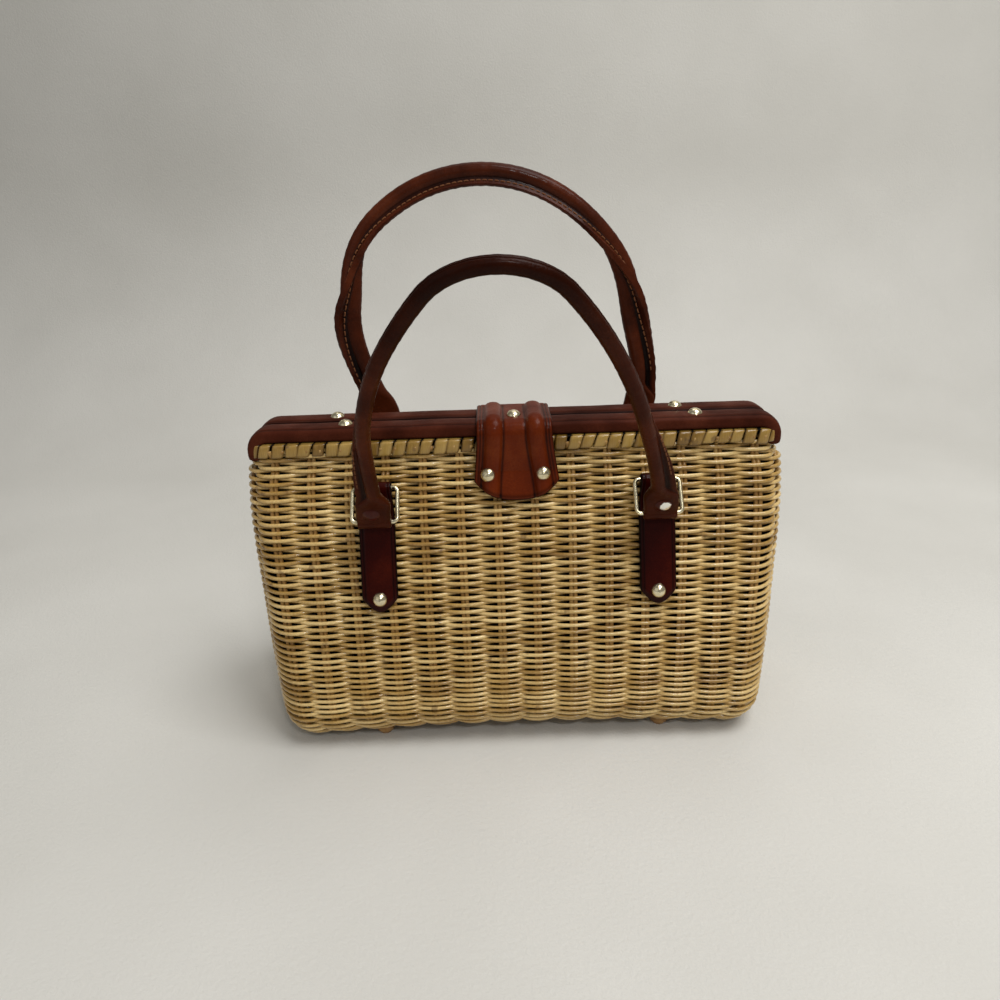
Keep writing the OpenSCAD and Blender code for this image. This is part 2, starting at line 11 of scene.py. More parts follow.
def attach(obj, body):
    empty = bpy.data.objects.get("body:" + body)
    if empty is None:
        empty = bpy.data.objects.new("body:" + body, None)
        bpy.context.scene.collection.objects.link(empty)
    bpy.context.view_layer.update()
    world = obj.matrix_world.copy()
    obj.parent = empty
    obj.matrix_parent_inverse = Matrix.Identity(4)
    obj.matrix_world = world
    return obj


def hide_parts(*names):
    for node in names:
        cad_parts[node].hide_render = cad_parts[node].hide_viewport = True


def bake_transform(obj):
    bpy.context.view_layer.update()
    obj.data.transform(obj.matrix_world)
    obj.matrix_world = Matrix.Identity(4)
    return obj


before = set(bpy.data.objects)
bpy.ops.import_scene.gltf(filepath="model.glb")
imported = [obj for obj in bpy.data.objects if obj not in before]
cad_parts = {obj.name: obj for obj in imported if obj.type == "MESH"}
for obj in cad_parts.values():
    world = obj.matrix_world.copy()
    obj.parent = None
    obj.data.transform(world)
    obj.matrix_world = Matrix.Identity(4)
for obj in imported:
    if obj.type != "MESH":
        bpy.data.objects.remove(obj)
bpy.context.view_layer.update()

bl_info = {
    "name": "Basket Box Bag",
    "version": (1, 0, 0),
    "blender": (4, 5, 0),
    "location": "View3D > Sidebar > Bag",
    "description": "Builds the visible pieces of a woven box bag round its CAD frame",
    "category": "Object",
}

MM = 0.001

# Stake pairs round the body, and places among them counted from the front middle:
# the back middle, the last pair on the straight front, the end of a mouth half.
STAKES = 32
HALF_K = 16.0
FRONT_K = 6.5
BAND_K = 7.0

# The two stakes of a pair beside its middle, as shares of the stake pitch.
PAIR = np.array([-0.057, 0.057])

# Points of a weaver from stake to stake, and round its section.
PER = 8
SIDES = 8

# Axis of the ring's bar in a front tab: distance from the middle plane and height.
EYE_Y, EYE_Z = 25.1666, 142.0

# Handles: arch (rise, top radius and angle, side radius and angle), ring bar (y, z), lean in degrees,
# share of the full roll, and how far the flange is drawn back to the middle line.
HANDLES = {
    "front": {"arc": (147.5, 32.5, 52.8, 219.6, 85.2), "pivot": (35.821, 127.492), "lean": 30.0,
              "roll": 0.86, "centring": 0.2},
    "back": {"arc": (134.0, 82.0, 70.3, 88.3, 110.0), "pivot": (36.7367, 155.7888), "lean": 2.0,
             "roll": 1.0, "centring": 0.5},
}

# Colours of every finish in linear light, from dark to pale; the third of the cap is the pale bare metal of
# its spot, partly a painted highlight.
FINISHES = {
    "reed": ((0.19, 0.088, 0.012), (0.43, 0.258, 0.066), (0.80, 0.59, 0.26)),
    # The stake tones are darker than the weavers' reed: painted shade for the gaps in which the stakes show.
    "stake": ((0.17, 0.08, 0.016), (0.32, 0.17, 0.045), (0.46, 0.29, 0.10)),
    "cane": ((0.085, 0.038, 0.004), (0.23, 0.125, 0.020), (0.45, 0.29, 0.078)),
    "leather": ((0.026, 0.005, 0.002), (0.056, 0.0115, 0.005), (0.10, 0.024, 0.011)),
    "flap_leather": ((0.062, 0.007, 0.001), (0.104, 0.0142, 0.0022), (0.168, 0.033, 0.0065)),
    "dark_leather": ((0.014, 0.0008, 0.0004), (0.026, 0.0018, 0.0008), (0.055, 0.006, 0.002)),
    "front_grip": ((0.022, 0.0036, 0.0009), (0.050, 0.0088, 0.0022), (0.10, 0.0215, 0.006)),
    "back_grip": ((0.022, 0.0038, 0.0010), (0.056, 0.0105, 0.0030), (0.105, 0.023, 0.0075)),
    "brass": ((0.56, 0.47, 0.28), (0.80, 0.72, 0.50), (0.92, 0.87, 0.70)),
    "cap": ((0.042, 0.006, 0.003), (0.062, 0.010, 0.005), (0.86, 0.84, 0.78)),
    "timber": ((0.22, 0.11, 0.04), (0.42, 0.24, 0.09)),
    "thread": ((0.10, 0.03, 0.012), (0.22, 0.09, 0.035)),
    "black_cloth": ((0.002, 0.002, 0.002), (0.008, 0.007, 0.007)),
    "floor": ((0.60, 0.585, 0.54), (0.66, 0.645, 0.60)),
}


# properties

def length_prop(name, description, size, low=0.0):
    """A length property; size and low are in millimetres."""
    return bpy.props.FloatProperty(name=name, description=description, default=size * MM, min=low * MM,
                                   subtype="DISTANCE", unit="LENGTH")


def angle_prop(name, description, degrees):
    """An angle property."""
    return bpy.props.FloatProperty(name=name, description=description, default=math.radians(degrees),
                                   subtype="ANGLE", unit="ROTATION")


def rows_prop(name, description, count, fewest):
    """A number of woven rows."""
    return bpy.props.IntProperty(name=name, description=description, default=count, min=fewest)


def colour_prop(name, description, colour):
    """A colour property."""
    return bpy.props.FloatVectorProperty(name=name, description=description, default=colour, size=3,
                                         min=0.0, max=1.0, subtype="COLOR")


class BagBodyProps(bpy.types.PropertyGroup):
    """Sizes of the woven body."""

    mouth_w: length_prop("Mouth width", "Width over the weave at the mouth", 278.0)
    base_w: length_prop("Base width", "Width over the weave near the base", 266.0)
    fold_d: length_prop("Fold depth", "Depth over the weave at the bending line", 35.0)
    rim_d: length_prop("Rim depth", "Depth over the weave at the rim", 32.4)
    base_d: length_prop("Base depth", "Depth over the weave at the base", 104.0)
    rim_z: length_prop("Rim height", "Height of the rim over the ground", 166.0)
    fold_z: length_prop("Fold height", "Height of the bending line of the mouth", 150.0)
    corner_r: length_prop("Base corner", "Radius from the wall into the base", 12.0)
    arch: length_prop("Base arch", "Rise of the middle of the base edge", 5.0)
    base_z: length_prop("Base height", "Height of the lowest point of the base", 5.0)


class BagWeaveProps(bpy.types.PropertyGroup):
    """Sizes of the reed."""

    reed_d: length_prop("Reed", "Thickness of a round weaver", 2.15)
    stake_d: length_prop("Stake", "Thickness of one stake of a pair", 2.3)
    pitch: length_prop("Stake pitch", "Distance between front stakes at the mouth", 19.1)
    swing: length_prop("Swing", "Weaver standing out or in at a stake", 1.6)
    depth: length_prop("Depth", "Middle of the weave below the wall's nominal surface", 1.9)
    wall_rows: rows_prop("Wall rows", "Weaver rows on the wall", 72, 20)
    turn_rows: rows_prop("Corner rows", "Weaver rows round the base corner", 11, 4)
    band_rows: rows_prop("Band rows", "Weaver rows above the bending line", 5, 2)


class BagLeatherProps(bpy.types.PropertyGroup):
    """Sizes of the leather pieces."""

    tube_d: length_prop("Handle", "Rolled handle across", 8.2)
    flange: length_prop("Flange", "Stitched edge standing out of the roll", 4.2)
    tab_w: length_prop("Tab", "Width of a handle tab", 18.4)
    tab_x: length_prop("Tab place", "Distance of the tabs from the middle", 72.0)
    flap_w: length_prop("Flap", "Width of the clasp flap over the bars", 38.4)
    flap_low_w: length_prop("Flap foot", "Width of the clasp flap near its foot", 45.4)
    stitch: length_prop("Stitch", "Distance between stitches", 3.3)


class BagFinishProps(bpy.types.PropertyGroup):
    """Colours of the finishes, one property for each tone."""

    __annotations__ = {
        f"{finish}_{tone}": colour_prop(f"{finish.replace('_', ' ').capitalize()} {tone}",
                                        "Colour of this finish; tones run from dark to pale", colour)
        for finish, colours in FINISHES.items()
        for tone, colour in enumerate(colours, 1)
    }


class BagStageProps(bpy.types.PropertyGroup):
    """Camera of the stage."""

    distance: length_prop("Camera distance", "Distance of the camera from its aim", 414.0)
    pitch: angle_prop("Camera pitch", "How far the camera looks down", 21.5)
    roll: angle_prop("Camera roll", "Turn of the camera about its view", -1.9)
    aim_x: length_prop("Aim across", "Aim of the camera along X", -8.4, -1000.0)
    aim_z: length_prop("Aim height", "Aim of the camera along Z", 123.2)
    lens: bpy.props.FloatProperty(name="Lens", description="Focal length for a 36 mm sensor",
                                  default=27.04, min=1.0, unit="CAMERA")


def props(name):
    """Values of a property group: lengths in millimetres, angles in radians, colours as tuples."""
    group = getattr(bpy.context.scene, "bag_" + name)
    values = {}
    for key in type(group).__annotations__:
        value = getattr(group, key)
        prop = group.bl_rna.properties[key]
        if prop.subtype == "COLOR":
            value = tuple(value)
        elif prop.type == "FLOAT" and prop.unit == "LENGTH":
            value = round(value / MM, 4)
        values[key] = value
    return SimpleNamespace(**values)


# shape of the woven wall, in millimetres, whole arrays at a time

def wall_a(z):
    """Half width of the wall at height z.

    It narrows with the square of the drop below the bending line and swells a little under that line.
    """
    b = props("body")
    t = np.maximum((b.fold_z - z) / b.fold_z, 0.0)
    swell_out, swell_z, swell_high = 1.8, 128.0, 32.0
    swell = swell_out * np.exp(-((z - swell_z) / swell_high) ** 2)
    return b.mouth_w / 2 - (b.mouth_w - b.base_w) / 2 * t ** 2 + np.where(z > b.fold_z, 0.0, swell)


def wall_b(z):
    """Half depth of the wall at height z: a power curve below the bending line, straight above it."""
    b = props("body")
    straight, power = 10.0, 1.42
    t = np.clip((b.fold_z - z) / (b.fold_z - b.base_z - straight), 0.0, 1.0)
    low = b.fold_d / 2 + (b.base_d - b.fold_d) / 2 * (1 - (1 - t) ** power)
    high = b.fold_d / 2 - (b.fold_d - b.rim_d) / 2 * (z - b.fold_z) / (b.rim_z - b.fold_z)
    return np.where(z > b.fold_z, high, low)


def wall_r(z):
    """Corner radius of the wall's outline at height z."""
    b = props("body")
    top, base, slope = 12.0, 24.0, 0.1
    return np.where(z > b.fold_z, top, np.minimum(top + (b.fold_z - z) * slope, base))


def outline(l, a, b, r):
    """Point and outward normal of a rounded rectangle at distance l along its edge from the front middle."""
    l1 = a - r
    l2 = l1 + math.pi * r / 2
    l3 = l2 + 2 * (b - r)
    l4 = l3 + math.pi * r / 2
    q1 = np.clip((l - l1) / r, 0, math.pi / 2)
    q2 = np.clip((l - l3) / r, 0, math.pi / 2)
    angle = q1 + q2
    x = np.minimum(l, l1) + r * np.sin(q1) - r * (1 - np.cos(q2)) - np.maximum(l - l4, 0)
    y = -b + r * (1 - np.cos(q1)) + np.clip(l - l2, 0, l3 - l2) + r * np.sin(q2)
    return x, y, np.sin(angle), -np.cos(angle)


def stake_length(k, a, half):
    """Edge distance of stake position k: even pitch on the front and back, the rest shared by the ends."""
    s = props("weave").pitch * a / (props("body").mouth_w / 2)
    rest = (half - 2 * FRONT_K * s) / (HALF_K - 2 * FRONT_K)
    mid = FRONT_K * s + (k - FRONT_K) * rest
    return np.where(k <= FRONT_K, k * s, np.where(k <= HALF_K - FRONT_K, mid, half - (HALF_K - k) * s))


def weave_point(k, z, inset=0.0, off=0.0, curve=1.0):
    """Point of the woven wall at stake position k and height z, and its outward normal in plan.

    inset shrinks the outline for the rows that turn under the base; off moves along the normal.
    """
    body = props("body")
    k = np.asarray(k, float)
    turned = np.mod(k, 2 * HALF_K)
    right = turned <= HALF_K
    kk = np.where(right, turned, 2 * HALF_K - turned)
    z, inset, off, kk = np.broadcast_arrays(np.asarray(z, float), inset, off, kk)
    a, b = wall_a(z) - inset, wall_b(z) - inset
    r = np.maximum(wall_r(z) - inset, 4.0)
    half = 2 * (a + b) - (4 - math.pi) * r
    x, y, nx, ny = outline(stake_length(kk, a, half), a, b, r)
    side = np.where(right, 1.0, -1.0)
    x = (x + off * nx) * side
    arch_z, arch_high = 60.0, 45.0
    low = np.clip((arch_z - z) / arch_high, 0, 1) ** 2
    lift = low * np.maximum(0, 1 - (2 * x / body.base_w) ** 2) * body.arch * curve
    return (np.stack([x, y + off * ny, z + lift], -1),
            np.stack([nx * side, ny, np.zeros_like(nx)], -1))


def smooth(t):
    """Smooth step from 0 to 1."""
    t = np.clip(t, 0, 1)
    return t * t * (3 - 2 * t)


# meshes

def put_mesh(name, verts, quads, body, nodes=(), material=None, attrs=None):
    """A mesh object from vertices in millimetres and quads, riding on a CAD body."""
    me = bpy.data.meshes.new(name)
    verts = np.asarray(verts, float).reshape(-1, 3) * MM
    quads = np.asarray(quads, np.int32)
    me.vertices.add(len(verts))
    me.vertices.foreach_set("co", verts.ravel())
    me.loops.add(quads.size)
    me.loops.foreach_set("vertex_index", quads.ravel())
    me.polygons.add(len(quads))
    me.polygons.foreach_set("loop_start", np.arange(len(quads), dtype=np.int32) * quads.shape[1])
    me.polygons.foreach_set("use_smooth", np.ones(len(quads), bool))
    me.update(calc_edges=True)
    me.validate()
    for key, values in (attrs or {}).items():
        layer = me.attributes.new(key, "FLOAT", "POINT")
        layer.data.foreach_set("value", np.asarray(values, np.float32).ravel())
    ob = bpy.data.objects.new(name, me)
    bpy.context.scene.collection.objects.link(ob)
    if material:
        me.materials.append(material)
    if body:
        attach(ob, body)
    if nodes:
        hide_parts(*nodes)
    return ob


def grid_quads(n, m, close_n=False, close_m=False):
    """Quads of an n by m grid of points, closed along either way on request."""
    i = np.arange(n if close_n else n - 1)[:, None]
    j = np.arange(m if close_m else m - 1)[None, :]
    a = i * m + j
    b = i * m + (j + 1) % m
    c = (i + 1) % n * m + (j + 1) % m
    d = (i + 1) % n * m + j
    return np.stack([a, b, c, d], -1).reshape(-1, 4)


def tubes(paths, normals, radius, sides, closed):
    """Round tubes along many paths at once: each ring is a circle across the path.

    paths and normals have shape (tubes, samples, 3) and the radius may vary by sample. Open ends close to
    a point.
    """
    rows, n, _ = paths.shape
    tangent = np.roll(paths, -1, 1) - np.roll(paths, 1, 1)
    if not closed:
        tangent[:, 0] = paths[:, 1] - paths[:, 0]
        tangent[:, -1] = paths[:, -1] - paths[:, -2]
    tangent /= np.linalg.norm(tangent, axis=-1, keepdims=True) + 1e-12
    out = normals - tangent * np.sum(normals * tangent, -1, keepdims=True)
    out /= np.linalg.norm(out, axis=-1, keepdims=True) + 1e-12
    up = np.cross(tangent, out)
    q = np.arange(sides) / sides * 2 * math.pi
    r = np.broadcast_to(np.asarray(radius, float), (rows, n))
    if not closed:
        point = 0.02
        paths, out, up, r = (np.concatenate([a[:, :1], a, a[:, -1:]], 1) for a in (paths, out, up, r))
        r[:, [0, -1]] *= point
        n += 2
    ring = paths[:, :, None] + r[:, :, None, None] * (
        np.cos(q)[:, None] * out[:, :, None] + np.sin(q)[:, None] * up[:, :, None])
    quads = grid_quads(n, sides, closed, True)
    quads = (quads[None] + (np.arange(rows) * n * sides)[:, None, None]).reshape(-1, 4)
    return ring.reshape(-1, 3), quads[:, ::-1], n * sides


def slab(top, bottom):
    """Closed solid between two facing grids of the same shape: both faces and a wall round their edge."""
    n, m, _ = top.shape
    back = n * m
    i, j = np.arange(n), np.arange(m)
    loop = np.concatenate([j[:-1], i[:-1] * m + m - 1, (n - 1) * m + j[:0:-1], i[:0:-1] * m])
    nxt = np.roll(loop, -1)
    wall = np.stack([loop, loop + back, nxt + back, nxt], -1)
    face = grid_quads(n, m)
    quads = np.concatenate([face, face[:, ::-1] + back, wall])
    return np.concatenate([top.reshape(-1, 3), bottom.reshape(-1, 3)]), quads


def join(parts):
    """One vertex and quad array out of several."""
    verts, quads, start = [], [], 0
    for v, q in parts:
        v = np.asarray(v, float).reshape(-1, 3)
        verts.append(v)
        quads.append(np.asarray(q) + start)
        start += len(v)
    return np.concatenate(verts), np.concatenate(quads)


def noise_table(seed, *shape):
    """Seeded random numbers from -1 to 1."""
    return np.random.default_rng(seed).uniform(-1, 1, shape)


# materials

WHITE = (1.0, 1.0, 1.0)


def new_material(name):
    """The node tree and principled shader of a new material."""
    m = bpy.data.materials.new(name)
    m.use_nodes = True
    m.node_tree.nodes.clear()
    out = m.node_tree.nodes.new("ShaderNodeOutputMaterial")
    shader = m.node_tree.nodes.new("ShaderNodeBsdfPrincipled")
    m.node_tree.links.new(shader.outputs[0], out.inputs[0])
    return m.node_tree, shader


def coords(tree, scale=(1, 1, 1)):
    """Object coordinates, scaled."""
    tex = tree.nodes.new("ShaderNodeTexCoord")
    mapping = tree.nodes.new("ShaderNodeMapping")
    mapping.inputs["Scale"].default_value = scale
    tree.links.new(tex.outputs["Object"], mapping.inputs["Vector"])
    return mapping.outputs["Vector"]


def noise(tree, vector, scale, detail=3.0, rough=0.5):
    """Noise factor on a vector."""
    n = tree.nodes.new("ShaderNodeTexNoise")
    n.inputs["Scale"].default_value = scale
    n.inputs["Detail"].default_value = detail
    n.inputs["Roughness"].default_value = rough
    tree.links.new(vector, n.inputs["Vector"])
    return n.outputs["Fac"]


def ramp(tree, fac, stops):
    """Colours along a factor."""
    r = tree.nodes.new("ShaderNodeValToRGB")
    while len(r.color_ramp.elements) < len(stops):
        r.color_ramp.elements.new(0.5)
    for e, (pos, col) in zip(r.color_ramp.elements, stops):
        e.position = pos
        e.color = (*col, 1)
    tree.links.new(fac, r.inputs["Fac"])
    return r.outputs["Color"]


def mix(tree, fac, a, b, mode="MIX"):
    """Mix of two colours, by a number or a socket."""
    n = tree.nodes.new("ShaderNodeMix")
    n.data_type = "RGBA"
    n.blend_type = mode
    n.clamp_factor = True
    for socket, value in ((n.inputs[0], fac), (n.inputs[6], a), (n.inputs[7], b)):
        if isinstance(value, (int, float)):
            socket.default_value = value
        elif isinstance(value, tuple):
            socket.default_value = (*value, 1)
        else:
            tree.links.new(value, socket)
    return n.outputs[2]


def math_node(tree, op, a, b):
    """One arithmetic step."""
    n = tree.nodes.new("ShaderNodeMath")
    n.operation = op
    for socket, value in ((n.inputs[0], a), (n.inputs[1], b)):
        if isinstance(value, (int, float)):
            socket.default_value = value
        else:
            tree.links.new(value, socket)
    return n.outputs[0]


def attribute(tree, name):
    """A float attribute of the mesh."""
    n = tree.nodes.new("ShaderNodeAttribute")
    n.attribute_name = name
    return n.outputs["Fac"]


def weigh(tree, *terms):
    """Sum of sockets, each times its weight."""
    parts = [math_node(tree, "MULTIPLY", socket, weight) for socket, weight in terms]
    total = parts[0]
    for part in parts[1:]:
        total = math_node(tree, "ADD", total, part)
    return total


def set_inputs(shader, values):
    """Fixed values of a shader's inputs, by name."""
    for key, value in values.items():
        shader.inputs[key].default_value = value


def bump(tree, shader, height, strength, distance=0.0003):
    """Bump on a shader's normal, in metres."""
    n = tree.nodes.new("ShaderNodeBump")
    n.inputs["Strength"].default_value = strength
    n.inputs["Distance"].default_value = distance
    tree.links.new(height, n.inputs["Height"])
    tree.links.new(n.outputs[0], shader.inputs["Normal"])


def reed_material(name, dark, mid, pale, coat, along=(1, 1, 1)):
    """Varnished reed: a tone for every stretch, streaks and flecks, and painted shade, a dark brown, in the
    hollows of the weave.
    """
    t, s = new_material(name)
    vec = coords(t)
    streak = noise(t, coords(t, along), 900, 4, 0.6)
    patch = noise(t, vec, 55, 3, 0.5)
    tone = attribute(t, "tone")
    fac = weigh(t, (patch, 0.35), (tone, 0.42), (streak, 0.35))
    colour = ramp(t, fac, [(0.25, dark), (0.52, mid), (0.85, pale)])
    fleck_brown, hollow_shade = (0.16, 0.07, 0.02), (0.13, 0.055, 0.013)
    fleck = ramp(t, noise(t, vec, 160, 2, 0.5), [(0.28, fleck_brown), (0.36, WHITE)])
    colour = mix(t, 0.5, colour, fleck, "MULTIPLY")
    # Painted shade: the reed is darkened to brown where the crest attribute puts it in a hollow of the weave.
    hollow_painted_shade = ramp(t, attribute(t, "crest"), [(0.10, hollow_shade), (0.48, WHITE)])
    t.links.new(mix(t, 0.85, colour, hollow_painted_shade, "MULTIPLY"), s.inputs["Base Color"])
    set_inputs(s, {"Specular IOR Level": 0.25, "Roughness": 0.34, "Coat Weight": coat,
                   "Coat Roughness": 0.14})
    bump(t, s, streak, 0.25)


def leather_material(name, dark, mid, pale, gloss, coat, wrinkle=0.0):
    """Polished leather: cloudy colour and creased grain; the shade attribute paints shade into slits,
    grooves, creases and undersides, and two more attributes give cross wrinkles.
    """
    t, s = new_material(name)
    vec = coords(t)
    cloud = noise(t, vec, 42, 4, 0.55)
    grain = noise(t, vec, 1100, 3, 0.6)
    cells = t.nodes.new("ShaderNodeTexVoronoi")
    cells.inputs["Scale"].default_value = 950
    t.links.new(vec, cells.inputs["Vector"])
    fac = weigh(t, (cloud, 0.8), (grain, 0.2))
    colour = ramp(t, fac, [(0.3, dark), (0.52, mid), (0.75, pale)])
    # Painted shade: the shade attribute darkens the colour towards a near black.
    painted_shade = ramp(t, attribute(t, "shade"), [(0.0, WHITE), (1.0, (0.06, 0.05, 0.05))])
    t.links.new(mix(t, 1.0, colour, painted_shade, "MULTIPLY"), s.inputs["Base Color"])
    rough = ramp(t, cloud, [(0.3, (gloss + 0.12,) * 3), (0.7, (gloss - 0.06,) * 3)])
    t.links.new(rough, s.inputs["Roughness"])
    set_inputs(s, {"Specular IOR Level": 0.04, "Coat Weight": coat, "Coat Roughness": 0.14})
    height = math_node(t, "ADD", cells.outputs["Distance"], grain)
    if wrinkle:
        both = t.nodes.new("ShaderNodeCombineXYZ")
        t.links.new(attribute(t, "along"), both.inputs[0])
        t.links.new(attribute(t, "around"), both.inputs[1])
        lines = noise(t, both.outputs[0], 1.4, 3, 0.6)
        height = math_node(t, "ADD", math_node(t, "MULTIPLY", lines, wrinkle), height)
    bump(t, s, height, 0.22)


def brass_material(name, dark, mid, pale):
    """Polished pale brass with faint rubbed clouds."""
    t, s = new_material(name)
    vec = coords(t)
    cloud = noise(t, vec, 300, 4, 0.6)
    t.links.new(ramp(t, cloud, [(0.3, dark), (0.6, mid), (0.8, pale)]), s.inputs["Base Color"])
    set_inputs(s, {"Metallic": 1.0})
    t.links.new(ramp(t, cloud, [(0.3, (0.3,) * 3), (0.7, (0.16,) * 3)]), s.inputs["Roughness"])


def cloth_material(name, dark, pale, scale):
    """Plain woven cloth: crossed fine threads and soft clouds."""
    t, s = new_material(name)
    vec = coords(t)
    thread = noise(t, coords(t, (1, 1, 4)), scale, 2, 0.5)
    cloud = noise(t, vec, 30, 3, 0.5)
    fac = weigh(t, (thread, 0.5), (cloud, 0.5))
    t.links.new(ramp(t, fac, [(0.3, dark), (0.7, pale)]), s.inputs["Base Color"])
    set_inputs(s, {"Roughness": 0.9, "Sheen Weight": 0.04, "Specular IOR Level": 0.1})
    bump(t, s, thread, 0.4)


def plain_material(name, dark, pale, rough, coat):
    """Lacquer or turned wood: two colours clouded along the piece."""
    t, s = new_material(name)
    fac = noise(t, coords(t, (1, 1, 0.3)), 200, 3, 0.5)
    t.links.new(ramp(t, fac, [(0.3, dark), (0.7, pale)]), s.inputs["Base Color"])
    set_inputs(s, {"Roughness": rough, "Specular IOR Level": 0.06, "Coat Weight": coat,
                   "Coat Roughness": 0.1})
    return t, s


def cap_material(name, dark, pale, metal, rough, coat):
    """Dark lacquered cap; the front right one has pale bare metal in the middle, partly rubbed wear and
    partly a painted highlight.
    """
    t, s = plain_material(name, dark, pale, rough, coat)
    # Pale bare metal on the front right cap: partly rubbed wear, partly a painted highlight.
    spot, spot_r, fray = (0.0729, -0.0440, 0.1340), 0.0036, 0.0016
    away = t.nodes.new("ShaderNodeVectorMath")
    away.operation = "DISTANCE"
    t.links.new(coords(t), away.inputs[0])
    away.inputs[1].default_value = spot
    ragged = math_node(t, "MULTIPLY", noise(t, coords(t), 700, 3, 0.6), fray)
    wear_and_highlight = math_node(t, "LESS_THAN", math_node(t, "ADD", away.outputs["Value"], ragged), spot_r)
    lacquer = s.inputs["Base Color"].links[0].from_socket
    t.links.new(mix(t, wear_and_highlight, lacquer, metal), s.inputs["Base Color"])
    t.links.new(wear_and_highlight, s.inputs["Metallic"])


# The maker of every finish and its settings beside the colours.
SURFACES = {
    "reed": (reed_material, {"coat": 0.8}),
    "stake": (reed_material, {"coat": 0.2}),
    "cane": (reed_material, {"coat": 0.5, "along": (2.2, 2.2, 0.12)}),
    "leather": (leather_material, {"gloss": 0.5, "coat": 0.0}),
    "flap_leather": (leather_material, {"gloss": 0.34, "coat": 0.08}),
    "dark_leather": (leather_material, {"gloss": 0.36, "coat": 0.1}),
    "front_grip": (leather_material, {"gloss": 0.28, "coat": 0.05, "wrinkle": 3.0}),
    "back_grip": (leather_material, {"gloss": 0.32, "coat": 0.1, "wrinkle": 3.0}),
    "brass": (brass_material, {}),
    "cap": (cap_material, {"rough": 0.28, "coat": 0.2}),
    "timber": (plain_material, {"rough": 0.45, "coat": 0.3}),
    "thread": (cloth_material, {"scale": 3000}),
    "black_cloth": (cloth_material, {"scale": 2500}),
}


def finish_colours(name):
    """Colours of a finish, from dark to pale."""
    finish = vars(props("finish"))
    return [finish[f"{name}_{tone}"] for tone in range(1, len(FINISHES[name]) + 1)]


def material(name):
    """The finish of that name, made on first use; its prefix keeps it apart from the frame's own."""
    full = "look_" + name
    if full not in bpy.data.materials:
        make, settings = SURFACES[name]
        make(full, *finish_colours(name), **settings)
    return bpy.data.materials[full]


# pieces

def corner_top():
    """Height at which the wall starts to turn under the base."""
    body = props("body")
    return body.base_z + body.corner_r + 3.0


def row_heights():
    """Height and inset of every weaver row of the body.

    Heights fall by an exponential towards a far level, so rows draw closer downwards; the last rows follow
    a quarter circle under the base.
    """
    body, w = props("body"), props("weave")
    foot = corner_top()
    top, zero = body.fold_z - 0.6, -387.0
    gain = math.log((top - zero) / (foot - zero)) / w.wall_rows
    z = zero + (top - zero) * np.exp(-gain * np.arange(w.wall_rows + 1))
    q = (np.arange(w.turn_rows) + 1) / w.turn_rows * math.pi / 2
    return (np.concatenate([z, foot - (foot - body.base_z) * np.sin(q)]),
            np.concatenate([np.zeros_like(z), body.corner_r * (1 - np.cos(q))]))


def weavers(k, z, inset, phase, seed):
    """Weaver paths: round the outline at each row's height, out over one stake pair and in behind the next.

    The swing is a flattened cosine along the stakes, turned by half a period from row to row.
    """
    w = props("weave")
    rows = len(z)
    swing = np.cos(math.pi * (k[None, :] - 0.5) + math.pi * phase[:, None])
    swing = np.sign(swing) * np.abs(swing) ** 0.75 * w.swing
    knots, uneven_z, uneven_out = 40, 0.16, 0.12
    jitter = noise_table(seed, rows, knots)
    wob = np.stack([np.interp(k, np.linspace(k.min(), k.max(), knots), row) for row in jitter])
    p, nrm = weave_point(k[None, :] + np.zeros((rows, 1)), z[:, None] + wob * uneven_z, inset[:, None],
                         swing - w.depth + wob * uneven_out)
    lean = np.clip(inset / props("body").corner_r, 0, 1)[:, None, None]
    down = np.array([0, 0, -1.0])
    nrm = nrm * (1 - 0.6 * lean) + down * lean
    shift = down * lean * (swing * 0.9)[:, :, None]
    return p + shift, nrm, swing


def crests(swing, capped):
    """How far out every vertex of the weavers lies, from 0 behind a stake to 1 on a crest; low values get
    painted shade.
    """
    w = props("weave")
    if capped:
        swing = np.concatenate([swing[:, :1], swing, swing[:, -1:]], 1)
    ring = np.cos(np.arange(SIDES) / SIDES * 2 * math.pi) * w.reed_d / 2
    return (0.5 + 0.5 * (swing[:, :, None] + ring) / (w.swing + w.reed_d / 2)).ravel()


def tones(rows, n, seed):
    """Tone of every vertex: one random value a row, one a stake interval, smoothed along the reed."""
    r = noise_table(seed, rows, 1) * 0.5
    c = noise_table(seed + 1, rows, n // PER + 2) * 0.5
    x = np.arange(n) / PER
    c = np.stack([np.interp(x, np.arange(c.shape[1]), row) for row in c])
    return np.repeat((0.5 + 0.6 * (r + c)).ravel(), SIDES)


def build_body_weave():
    """Closed weaver loops of the body in two pieces, its stake pairs and its woven base."""
    w = props("weave")
    z, inset = row_heights()
    n = STAKES * PER
    k = np.arange(n) / PER
    half = len(z) // 2
    for name, pick, nodes in (("weave_upper", slice(0, half), ("basket",)),
                              ("weave_lower", slice(half, None), ())):
        rows = np.arange(len(z))[pick]
        p, nrm, swing = weavers(k, z[pick], inset[pick], rows % 2, 11 + len(rows))
        radius = w.reed_d / 2 * (1 - 0.15 * rows / len(z))
        v, q, _ = tubes(p, nrm, radius[:, None], SIDES, True)
        put_mesh(name, v, q, "basket", nodes, material("reed"),
                 {"tone": tones(len(rows), n, 5 + len(rows)), "crest": crests(swing, False)})
    body_stakes()
    base_weave()


